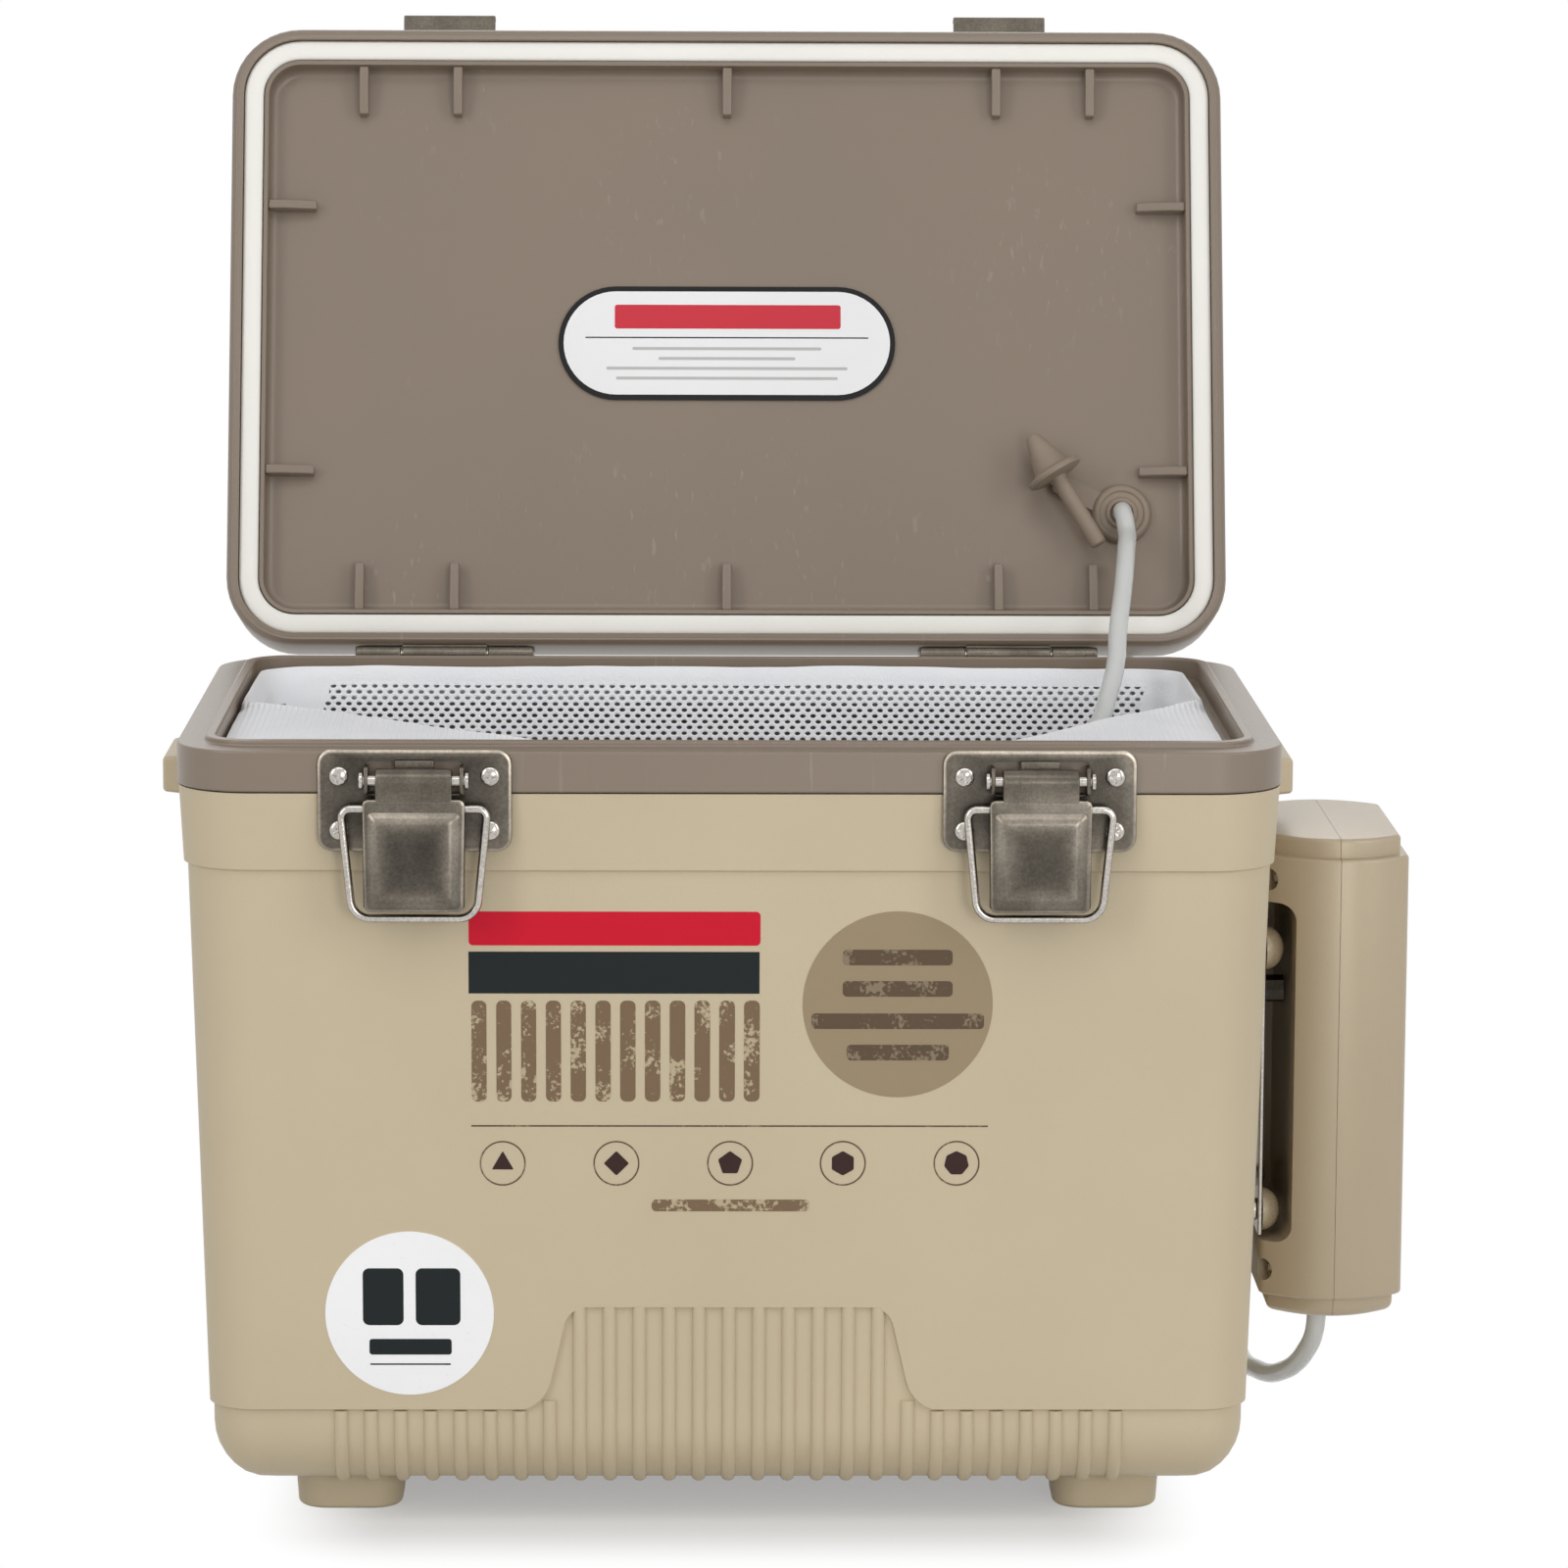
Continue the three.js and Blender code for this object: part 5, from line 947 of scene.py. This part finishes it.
latch_steel = metal("latch_steel", linear(112, 105, 95), 0.28, 0.35)
# The pressed plates and lever faces carry painted light: painted highlights on rolled edges, painted shade on
# flat fields.
pressed_steel_painted_light = metal("pressed_steel_painted_light", linear(118, 111, 101), 0.28, 0.3, paints_light=True)
bright_steel = metal("bright_steel", linear(192, 187, 180), 0.15, 0.12)


def barrel(low, high, radius, y, z):
    """A round bar along x with slightly broken ends."""
    edge = min(radius, high - low) * 0.12
    bm = turned([(0, low), (radius - edge, low), (radius, low + edge), (radius, high - edge),
                 (radius - edge, high), (0, high)], 24)
    return moved(bm, Matrix.Translation((0, y, z)), Matrix.Rotation(math.pi / 2, 4, "Y"))


def leaf(back, z, neck, knuckles):
    """A leaf's plate with its back against a wall, a neck up to the pin and its share of the knuckles."""
    out = Matrix.Translation((0, back + leaf_thick, 0))
    plate = rectangle(-leaf_half, leaf_half, z - leaf_height / 2, z + leaf_height / 2)
    parts = [moved(slab(plate, leaf_thick, 0.003), out)]
    for low, high in knuckles:
        parts.append(moved(slab(rectangle(low, high, *neck), leaf_thick), out))
        parts.append(barrel(low, high, knuckle_radius, hinge_y, lid_face))
    return gathered(parts)


outer_knuckle = knuckle_half + knuckle_gap
for side, sign in (("left", -1), ("right", 1)):
    place = Matrix.Translation(at(sign * hinge_x, 0, 0))
    lower = leaf(half_depth + 0.0003, lid_face - leaf_offset, (lid_face - neck_length, lid_face),
                 [(-leaf_half, -outer_knuckle), (outer_knuckle, leaf_half)])
    upper = leaf(half_depth, lid_face + leaf_offset, (lid_face, lid_face + neck_length),
                 [(-knuckle_half, knuckle_half)])
    for part, level, body in ((moved(lower, place), "lower", "box"),
                              (moved(upper, lid_turn, place), "upper", "lid")):
        part = soften(made(part, f"hinge_{level}_{side}"), 0.0003, 2)
        show(part, latch_steel, body, [f"hinge_{level}_leaf_{side}"])
    pin = barrel(-leaf_half, leaf_half, rod_radius, hinge_y, lid_face)
    show(made(moved(pin, place), f"hinge_rod_{side}"), bright_steel, "box", [f"hinge_pin_{side}"])

# Draw latches: a pressed plate with a window, a lever that rolls over its pin with a raised pad, and a
# wire bail. All are drawn in the middle of the front and moved to their side.
latch_x = {"left": -0.0861, "right": 0.0845}
latch_top, plate_face, plate_thick = 0.222, -0.0981, 0.0013
plate_half, plate_height, plate_corner = 0.0265, 0.028, 0.004
window_half, window_high, window_low = 0.0136, 0.003, 0.0127
pin_y, pin_z, pin_radius, pin_head, pin_head_radius = -0.1023, 0.2141, 0.0015, 0.001, 0.0024
ear_inner, ear_thick, ear_reach, ear_tip, ear_half = 0.0124, 0.0012, 0.0062, 0.0074, 0.0038
lever_front, lever_half, lever_low, lever_skin = -0.1056, 0.014, 0.1784, 0.0012
roll_half, roll_radius = 0.0104, 0.0033
bail_y, bail_z, bail_length, bail_wire = -0.1017, 0.2063, 0.0302, 0.00115
bail_top_half, bail_low_half = 0.02, 0.0169


def side_cut(outline, width):
    """A plate from an outline in y and z, as wide as given and centred on x = 0."""
    bm = slab([(y, z) for y, z in outline], width)
    return moved(bm, Matrix.Translation((-width / 2, 0, 0)), Matrix.Rotation(math.pi / 2, 4, "Z"))


def pressed(stations, half_x, half_z, radius, mid_z, face, taper=0.0):
    """A pressed sheet from loops, back to front: each has an inset, a rise and the painted light that its
    points carry, low for painted shade and high for painted highlights.
    """
    bm = bmesh.new()
    painted_light = bm.verts.layers.float.new("painted_light")
    rings = []
    for inset, rise, light in stations:
        plan = rounded_plan(half_x - inset, half_z - inset, max(radius - inset, 0.0009), 6)
        ring = ring_of(bm, [(x * (1 - taper * (half_z - z)), face - rise, mid_z + z) for x, z in plan])
        for vert in {vert for edge in ring for vert in edge.verts}:
            # Painted shade: below the middle a bright loop is darker, as under light from above.
            low = vert.co.z < mid_z and light > 0.6
            vert[painted_light] = light * (0.78 if low else 1)
        rings.append(ring)
    join_rings(bm, rings)
    return bm


# Painted light on the plate, the third value of each loop: painted highlights on the rolled edge, painted
# shade over the flat field.
plate_stations = [(0, -plate_thick, 0.6), (0, -0.0007, 0.85), (0.0002, -0.0002, 1),
                  (0.0006, -0.00005, 0.9), (0.0011, 0, 0.47)]

for side, x in latch_x.items():
    place = Matrix.Translation(at(x, 0, 0))
    plate = pressed(plate_stations, plate_half, plate_height / 2, plate_corner,
                    latch_top - plate_height / 2, plate_face)
    plate = made(moved(plate, place), f"latch_base_{side}")
    window = rectangle(-window_half, window_half, latch_top - window_low, latch_top - window_high)
    cutter = moved(slab(window, plate_thick * 3, 0.0018), place,
                   Matrix.Translation((0, plate_face + plate_thick * 2, 0)))
    carve(plate, [made(cutter, "window_cutter")])
    show(plate, pressed_steel_painted_light, "box", [f"latch_plate_{side}"])

    back = plate_face + plate_thick
    parts = []
    for sign in (-1, 1):
        ear = side_cut([
            (back, pin_z - ear_half), (back - ear_reach, pin_z - ear_half), (back - ear_tip, pin_z),
            (back - ear_reach, pin_z + ear_half), (back, pin_z + ear_half)], ear_thick)
        parts.append(moved(ear, Matrix.Translation((sign * (ear_inner + ear_thick / 2), 0, 0))))
    tongue = slab(rectangle(-0.0054, 0.0054, latch_top - 0.008, latch_top - 0.0028), 0.0008, 0.0005)
    parts.append(moved(tongue, Matrix.Translation((0, plate_face - 0.0006, 0))))
    ears = soften(made(moved(gathered(parts), place), f"latch_ears_{side}"), 0.0004)
    show(ears, latch_steel, "box")

    pin_end = ear_inner + ear_thick + 0.0003
    bars = ((-pin_end, pin_end, pin_radius), (pin_end, pin_end + pin_head, pin_head_radius),
            (-pin_end - pin_head, -pin_end, pin_head_radius))
    pin = gathered([barrel(*bar, pin_y, pin_z) for bar in bars])
    pin = made(moved(pin, place), f"latch_pin_{side}")
    show(soften(pin, 0.0003), bright_steel, "box", [f"lever_pin_{side}"])

# Lever: the sheet runs down from the roll, folds back along both sides and carries the raised pad.
shoulder = pin_z - 0.0047
roll_steps = [math.radians(200 - 17 * step) for step in range(17)]
roll_outline = [(lever_front, shoulder - 0.001)]
for radius, order in ((roll_radius, 1), (roll_radius - lever_skin, -1)):
    arc = [(pin_y + math.cos(t) * radius, pin_z + math.sin(t) * radius) for t in roll_steps]
    roll_outline += arc[::order]
roll_outline.append((lever_front + lever_skin, shoulder - 0.001))
pad_low, pad_high, pad_half = lever_low + 0.0008, lever_low + 0.0275, 0.0126
pad_lift, pad_slope = 0.0018, 0.0022


def lever_parts():
    fold = lever_front + 0.0006
    deep = fold + 0.0052
    parts = [side_cut(roll_outline, roll_half * 2)]
    for sign in (-1, 1):
        wing = side_cut([
            (fold, shoulder - 0.0004), (fold, lever_low + 0.001), (fold + 0.0016, lever_low + 0.001),
            (deep, lever_low + 0.013), (deep, shoulder - 0.0054), (fold + 0.0026, shoulder - 0.0004),
        ], lever_skin)
        parts.append(moved(wing, Matrix.Translation((sign * (lever_half - lever_skin / 2 - 0.0002), 0, 0))))
    return gathered(parts)


body_half, pad_half_z = (shoulder - lever_low) / 2, (pad_high - pad_low) / 2
# The third value of each loop is painted light: painted highlights on the folded edges and the pad's sloped
# border, painted shade darkest in the pad's middle.
body_stations = [(0, -lever_skin, 0.6), (0, -0.0006, 0.8), (0.0002, -0.0002, 0.95), (0.0006, -0.00005, 0.6),
                 (0.001, 0, 0.5)]
pad_stations = [(0, 0, 0.5), (0, 0.0003, 0.62), (pad_slope * 0.55, pad_lift * 0.62, 0.72),
                (pad_slope, pad_lift * 0.95, 0.7), (0.0032, pad_lift, 0.56), (0.005, pad_lift * 0.985, 0.42),
                (0.0072, pad_lift * 0.97, 0.25), (0.0098, pad_lift * 0.96, 0)]

for side, x in latch_x.items():
    place = Matrix.Translation(at(x, 0, 0))
    lever = soften(made(moved(lever_parts(), place), f"latch_arm_{side}", 30), 0.0004)
    show(lever, latch_steel, f"lever_{side}")
    body = pressed(body_stations, lever_half, body_half, 0.0018, lever_low + body_half, lever_front, 1.1)
    pad = pressed(pad_stations, pad_half, pad_half_z, 0.0016, pad_low + pad_half_z, lever_front, 0.4)
    face = made(moved(gathered([body, pad]), place), f"latch_face_{side}", 30)
    show(face, pressed_steel_painted_light, f"lever_{side}", [f"latch_lever_{side}"])

# Bails: a bright wire that leaves the lever's sides, turns down over a shoulder and closes below.


def bent_wire(name, corners, bends, radius):
    """A wire along straight runs, with each inner corner bent to its own size."""
    knots = [(corners[0], corners[0], corners[0].lerp(corners[1], 0.3))]
    for before, corner, after, bend in zip(corners, corners[1:], corners[2:], bends):
        start = corner + (before - corner).normalized() * bend
        end = corner + (after - corner).normalized() * bend
        knots.append((start, start.lerp(before, 0.1), start.lerp(corner, 0.56)))
        knots.append((end, end.lerp(corner, 0.56), end.lerp(after, 0.1)))
    knots.append((corners[-1], corners[-1].lerp(corners[-2], 0.3), corners[-1]))
    return tube_along(name, knots, radius, 12, 8)[0]


for side, x in latch_x.items():
    inner = lever_half - lever_skin - 0.0003
    half_path = [(inner, 0), (bail_top_half, 0), (bail_low_half, bail_length)]
    corners = [at(x + reach, bail_y, bail_z - drop) for reach, drop in half_path]
    corners += [at(x - reach, bail_y, bail_z - drop) for reach, drop in half_path[::-1]]
    bail = bent_wire(f"latch_wire_{side}", corners, (0.0029, 0.0048, 0.0048, 0.0029), bail_wire)
    show(bail, bright_steel, f"bail_{side}", [f"latch_bail_{side}"])

# Screws: bright pan heads with a cross recess, four on each latch plate.
screw_radius, screw_height, screw_out = 0.0027, 0.0015, 0.0206


def pan_head(radius, height):
    """A domed head that faces -y, its back at y = 0, and the cutter for its cross."""
    dome = [(radius, 0), (radius, height * 0.3)]
    dome += [(radius * math.cos(t), height * (0.3 + 0.7 * math.sin(t)))
             for t in (math.pi / 2 * step / 6 for step in range(1, 7))]
    head = moved(turned(dome, 24), Matrix.Rotation(math.pi / 2, 4, "X"))
    arm, slot_half = radius * 0.62, radius * 0.15
    bars = [slab(rectangle(-arm, arm, -slot_half, slot_half), height, slot_half * 0.6),
            slab(rectangle(-slot_half, slot_half, -arm, arm), height, slot_half * 0.6)]
    bars = [moved(bar, Matrix.Translation((0, -height * 0.12, 0))) for bar in bars]
    return head, bars


screw_places = []
for side, x in latch_x.items():
    for level, drop in (("upper", 0.0072), ("lower", 0.0221)):
        for edge, way in (("outer", 1), ("inner", -1)):
            towards = way if side == "right" else -way
            screw_places.append((f"{side}_{edge}_{level}", x + towards * screw_out, latch_top - drop))
for number, (spot_name, x, z) in enumerate(screw_places):
    place = Matrix.Translation(at(x, plate_face, z)) @ Matrix.Rotation(0.4 + number * 1.1, 4, "Y")
    head, bars = pan_head(screw_radius, screw_height)
    bmesh.ops.holes_fill(head, edges=head.edges, sides=0)
    head = made(moved(head, place), f"screw_head_{spot_name}")
    carve(head, [made(moved(bar, place), f"cross_cutter_{i}") for i, bar in enumerate(bars)])
    show(head, bright_steel, "box", [f"latch_screw_{spot_name}"])

# Strikes: a plate on the lid's free edge with a folded hook for the bail, and two screw heads.
strike_half, strike_low, strike_high, strike_thick = 0.025, lid_face + 0.0035, lid_face + 0.0185, 0.0012
hook_half, hook_thick = 0.0142, 0.001
lean = math.radians(181)
bar_y, bar_z = bail_y - bail_length * math.sin(lean), bail_z - bail_length * math.cos(lean)
lip_y, shelf_z = bar_y - bail_wire - 0.0003, bar_z - bail_wire - 0.0013
strike_front = 0.0003 - half_depth

for side, x in latch_x.items():
    place = Matrix.Translation(at(x, 0, 0))
    plate = slab(rectangle(-strike_half, strike_half, strike_low, strike_high), strike_thick, 0.003)
    moved(plate, Matrix.Translation((0, strike_front + strike_thick, 0)))
    hook = side_cut([
        (strike_front + strike_thick / 2, shelf_z), (lip_y, shelf_z), (lip_y, shelf_z + 0.004),
        (lip_y - hook_thick, shelf_z + 0.004), (lip_y - hook_thick, shelf_z - hook_thick),
        (strike_front + strike_thick / 2, shelf_z - hook_thick)], hook_half * 2)
    strike = soften(made(moved(gathered([plate, hook]), lid_turn, place), f"strike_plate_{side}"), 0.0004)
    show(strike, latch_steel, "lid", [f"strike_{side}"])
    for edge, sign in (("left", -1), ("right", 1)):
        head, bars = pan_head(0.0024, 0.0012)
        for bar in bars:
            bar.free()
        spot = Matrix.Translation((sign * 0.0204, strike_front, (strike_low + strike_high) / 2))
        head = made(moved(head, lid_turn, place, spot), f"strike_screw_{side}_{edge}")
        show(head, bright_steel, "lid")

# Air pump: a pearly tan case in two halves with bowed ends, stepped caps, a pocket towards the box for
# its hanger, and screw wells.
pump_left, pump_width, pump_depth, pump_y = 0.1532, 0.0412, 0.079, 0.0042
pump_low, pump_high, cap_height, cap_inset = 0.0475, 0.187, 0.0054, 0.0023
pump_corner, pump_bow, pump_seam = 0.0045, 0.0075, 0.0208
pocket_depth, pocket_low, pocket_high = 0.0086, 0.069, 0.168
pump_x = pump_left + pump_width / 2


def pump_ring(bm, inset, z):
    """A level loop round the pump: straight sides, small corners and bowed ends."""
    x, y, r = pump_width / 2 - inset, pump_depth / 2 - inset, pump_corner - inset / 2
    turn = math.atan(2 * pump_bow / x)
    end_x, end_y = x - r * (1 - math.sin(turn)), y - pump_bow
    quarter = [(end_x * step / 10, y - pump_bow * (step / 10) ** 2) for step in range(11)]
    for step in range(1, 7):
        angle = (math.pi / 2 - turn) * (1 - step / 6)
        quarter.append((x - r + r * math.cos(angle), end_y - r * math.cos(turn) + r * math.sin(angle)))
    back = quarter[::-1]
    plan = back + [(-px, py) for px, py in quarter[1:]]
    plan += [(-px, -py) for px, py in back[1:]] + [(px, -py) for px, py in quarter[1:-1]]
    return ring_of(bm, [at(pump_x + px, pump_y + py, z) for px, py in plan])


pump_section = fillet(cap_inset, pump_low, 0.003, steps=6) + [(cap_inset, pump_low + cap_height)]
pump_section += fillet(0, pump_low + cap_height + draft, 0.001, steps=4)
pump_section += fillet(0, pump_high - cap_height - draft, 0.001, way=-1, steps=4)[::-1]
pump_section.append((cap_inset, pump_high - cap_height))
pump_section += fillet(cap_inset, pump_high, 0.0012, way=-1, steps=4)[::-1]
pump = made(lofted(pump_section, pump_ring), "pump_block", 50)

pocket = rectangle(pump_left - 0.004, pump_left + pocket_depth, pocket_low, pocket_high)
pocket = slab(pocket, pump_depth, 0.005, rounded=(1, 2))
moved(pocket, Matrix.Translation(at(0, 0.0347, 0)))
well_cutters = [made(pocket, "pocket_cutter")]
well_places = [(0.0605, -1), (0.1745, -1), (0.0605, 1), (0.1745, 1)]
well_turn = math.radians(38)
for number, (z, sign) in enumerate(well_places):
    spot = at(pump_left + 0.0014, pump_y + sign * 0.0308, z)
    aim_in = Matrix.Rotation(sign * -well_turn, 4, "Z") @ Matrix.Rotation(math.pi / 2, 4, "Y")
    bore = moved(turned([(0, -0.008), (0.0036, -0.008), (0.003, 0.004), (0, 0.004)], 24),
                 Matrix.Translation(spot), aim_in)
    well_cutters.append(made(bore, f"well_cutter_{number}"))
    head = moved(turned([(0.0022, 0), (0.002, -0.0008), (0.0012, -0.0015), (0, -0.0018)], 20),
                 Matrix.Translation(spot), aim_in, Matrix.Translation((0, 0, 0.004)))
    show(made(head, f"pump_screw_{number + 1}"), bright_steel, "box")
carve(pump, well_cutters)
pump_plastic = moulded("pump_plastic", linear(180, 164, 138), 0.38, size=2200, depth=0.3, scuffs=0.05,
                       Metallic=0.12, Coat_Weight=0.15, Coat_Roughness=0.3)
seam_x = middle.x + pump_left + pump_seam
for name, way in (("pump_case_inner", 1), ("pump_case_outer", -1)):
    half_case = bmesh.new()
    half_case.from_mesh(pump.data)
    cut = bmesh.ops.bisect_plane(
        half_case, geom=half_case.verts[:] + half_case.edges[:] + half_case.faces[:],
        plane_co=(seam_x - way * 0.00003, 0, 0), plane_no=(way, 0, 0), clear_outer=True)
    rim = [part for part in cut["geom_cut"] if isinstance(part, bmesh.types.BMEdge)]
    bmesh.ops.edgeloop_fill(half_case, edges=rim)
    half_case = soften(made(half_case, name.replace("case", "shell"), 40), 0.00015, 2, 40)
    show(half_case, pump_plastic, "box", [name])
bpy.data.objects.remove(pump)

# Hanger and buffers: a steel plate on four posts beside the box, with a glossy tan dome on each post.
hanger_low, hanger_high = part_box("pump_hanger")
hanger_low, hanger_high = hanger_low - middle, hanger_high - middle
post_radius, post_length, post_start = 0.0034, 0.009, 0.0105
sideways = Matrix.Rotation(math.pi / 2, 4, "Y")
hanger = side_cut(rectangle(hanger_low.y, hanger_high.y, hanger_low.z, hanger_high.z), 0.0012)
moved(hanger, Matrix.Translation(at(pump_left, 0, 0)))
hanger_parts = [hanger]
buffer_rubber = moulded("buffer_rubber", linear(176, 160, 132), 0.28, size=1600, depth=0.1, scuffs=0.0)
for level in ("upper", "lower"):
    for end in ("front", "rear"):
        low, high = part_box(f"pump_buffer_{level}_{end}")
        spot = (low + high) / 2
        post = turned([(0, 0), (post_radius, 0), (post_radius, post_length), (0, post_length)], 20)
        moved(post, Matrix.Translation((low.x - post_start, spot.y, spot.z)), sideways)
        hanger_parts.append(post)
        radius, height = (high.z - low.z) / 2, high.x - low.x
        turns = [math.pi / 2 * step / 10 for step in range(11)]
        dome = turned([(0, 0)] + [(radius * math.cos(t), height * math.sin(t)) for t in turns])
        moved(dome, Matrix.Translation((low.x, spot.y, spot.z)), sideways)
        dome = made(dome, f"hanger_dome_{level}_{end}")
        show(dome, buffer_rubber, "box", [f"pump_buffer_{level}_{end}"])
show(soften(made(gathered(hanger_parts), "hanger_plate"), 0.0004), bright_steel, "box", ["pump_hanger"])

# Print on the front. Words, names and icons are left out: plain bars, a disc and rings of like colour
# and size stand in their places, found from where they lie in the 1600 pixel photograph.
print_thick = 0.00009
photo_size, focal = 1600, 141.28 / 36 * 1600
wall_place = Matrix.Translation(at(0, panel_inset - half_depth, base_line))
wall_place = wall_place @ Matrix.Rotation(wall_lean, 4, "X")
red_bar_pixels = (478, 930, 776, 965)
black_bar_pixels = (478, 971, 775, 1014)
tall_bars_pixels = (481, 1021, 775, 1124)
disc_pixels = (916, 1025, 97)
rule_pixels = (481, 1148, 1008, 1150)
foot_line_pixels = (665, 1224, 826, 1236)
ring_pixels = [(513, 1187), (629, 1187), (745, 1187), (860, 1187), (976, 1187)]
ring_radius_pixels = 23.5
sticker_pixels = (418, 1340, 86)


def on_wall(px, py):
    """Where a point of the photograph falls on the front wall: x, and the way up it."""
    ray = aim @ Vector(((px - photo_size / 2) / focal, (photo_size / 2 - py) / focal, -1))
    far = camera_place + ray * 4
    spot = geometry.intersect_line_plane(camera_place, far, wall_place.translation, wall_place.col[1].to_3d())
    local = wall_place.inverted() @ spot
    return local.x, local.z


def print_bar(name, pixels, material, thickness=print_thick, radius=0.0):
    low_x, high_z = on_wall(pixels[0], pixels[1])
    high_x, low_z = on_wall(pixels[2], pixels[3])
    bm = moved(slab(rectangle(low_x, high_x, low_z, high_z), thickness, radius), wall_place)
    show(made(bm, name), material, "box")


def print_disc(name, pixels, material, thickness=print_thick, hollow=0.0):
    """A printed disc, or a ring where part of it is left open."""
    x, z = on_wall(pixels[0], pixels[1])
    radius = on_wall(pixels[0] + pixels[2], pixels[1])[0] - x
    inner = radius - hollow if hollow else 0
    profile = [(inner, 0), (radius, 0), (radius, thickness), (inner, thickness)]
    if hollow:
        profile.append((inner, 0))
    spot = Matrix.Translation((x, 0, z)) @ Matrix.Rotation(math.pi / 2, 4, "X")
    bm = moved(turned(profile, 96), wall_place, spot)
    show(made(bm, name), material, "box")


def printed(name, color, worn=0.0):
    """Ink on the wall, worn through in specks where it is asked for."""
    material, tree, shader = new_material(name, color, 0.5, Specular_IOR_Level=0.15)
    coords = add_node(tree, "ShaderNodeTexCoord").outputs["Object"]
    specks = calc(tree, "ADD", noise_at(tree, coords, 900.0, 4.0), noise_at(tree, coords, 110.0, 1.0))
    gone = remap(tree, specks, 1.08, 1.2, 0.0, worn)
    link_to(tree, shader.inputs, Base_Color=mixed_color(tree, gone, color, linear(199, 184, 153)),
            Normal=bumped(tree, noise_at(tree, coords, 1400.0), 0.2, 0.0002))
    return material


ink_red = printed("ink_red", linear(206, 24, 48))
ink_black = printed("ink_black", linear(30, 36, 38))
ink_taupe = printed("ink_taupe", linear(124, 103, 80), 0.8)
ink_brown = printed("ink_brown", linear(96, 80, 64), 0.3)
ink_dark = printed("ink_dark", linear(58, 40, 38))
ink_disc = printed("ink_disc", linear(157, 140, 112))
print_bar("print_red_bar", red_bar_pixels, ink_red, radius=0.0012)
print_bar("print_black_bar", black_bar_pixels, ink_black)
bar_count, bar_share = 12, 0.62
step_x = (tall_bars_pixels[2] - tall_bars_pixels[0]) / (bar_count - 1 + bar_share)
for number in range(bar_count):
    low_x = tall_bars_pixels[0] + number * step_x
    bar = (low_x, tall_bars_pixels[1], low_x + step_x * bar_share, tall_bars_pixels[3])
    print_bar(f"print_tall_bar_{number + 1}", bar, ink_taupe, radius=0.0016)
print_disc("print_disc", disc_pixels, ink_disc)
for number, (reach, row) in enumerate(((56, 977), (56, 1009), (88, 1042), (52, 1074))):
    bar = (disc_pixels[0] - reach, row - 8, disc_pixels[0] + reach, row + 8)
    print_bar(f"print_disc_bar_{number + 1}", bar, ink_brown, print_thick * 1.8, 0.0012)
print_bar("print_rule", rule_pixels, ink_brown)
print_bar("print_foot_line", foot_line_pixels, ink_taupe, radius=0.0012)
for number, (px, py) in enumerate(ring_pixels):
    print_disc(f"print_ring_{number + 1}", (px, py, ring_radius_pixels), ink_brown, hollow=0.0004)
    corners = number + 3
    x, z = on_wall(px, py)
    mark = slab([(0.0035 * math.sin(math.tau * i / corners), 0.0035 * math.cos(math.tau * i / corners))
                 for i in range(corners)], print_thick, 0.0004)
    mark = made(moved(mark, wall_place, Matrix.Translation((x, 0, z))), f"print_mark_{number + 1}")
    show(mark, ink_dark, "box")

# Round sticker: glossy white paper on the front wall, with plain bars for its print.
sticker_white = moulded("sticker_white", linear(247, 247, 248), 0.3, size=900, depth=0.05, scuffs=0.0)
sticker_thick, sticker_ink = 0.0002, 0.00026
print_disc("round_sticker", sticker_pixels, sticker_white, sticker_thick)
for name, pixels, radius in (
    ("bar_1", (370, 1294, 412, 1352), 0.0018), ("bar_2", (424, 1294, 470, 1352), 0.0018),
    ("bar_3", (377, 1366, 461, 1382), 0.0008), ("rule", (378, 1391, 460, 1392.5), 0.0),
):
    print_bar("sticker_" + name, pixels, ink_black, sticker_ink, radius)

# Hidden and small pieces that keep their solids get a finish of their own.
foam_grain = moulded("foam_grain", linear(233, 228, 208), 0.9, size=500, depth=0.6, scuffs=0.0)
black_plastic = moulded("black_plastic", linear(29, 29, 31), 0.45, size=1500, depth=0.2, scuffs=0.1)
cell_skin = moulded("cell_skin", linear(59, 74, 88), 0.4, size=800, depth=0.1, scuffs=0.1, Metallic=0.3)
air_stone = moulded("air_stone", linear(143, 160, 168), 0.95, size=700, depth=1.0, scuffs=0.0)
finishes = {
    "wall_foam": foam_grain, "lid_foam": foam_grain, "net_hoop": latch_steel, "pump_clip": latch_steel,
    "pump_motor": black_plastic, "pump_switch": black_plastic, "pump_outlet": pump_plastic,
    "cell_lower": cell_skin, "cell_upper": cell_skin, "air_stone": air_stone,
}
for name, finish in finishes.items():
    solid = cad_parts[name]
    solid.data.materials.clear()
    solid.data.materials.append(finish)
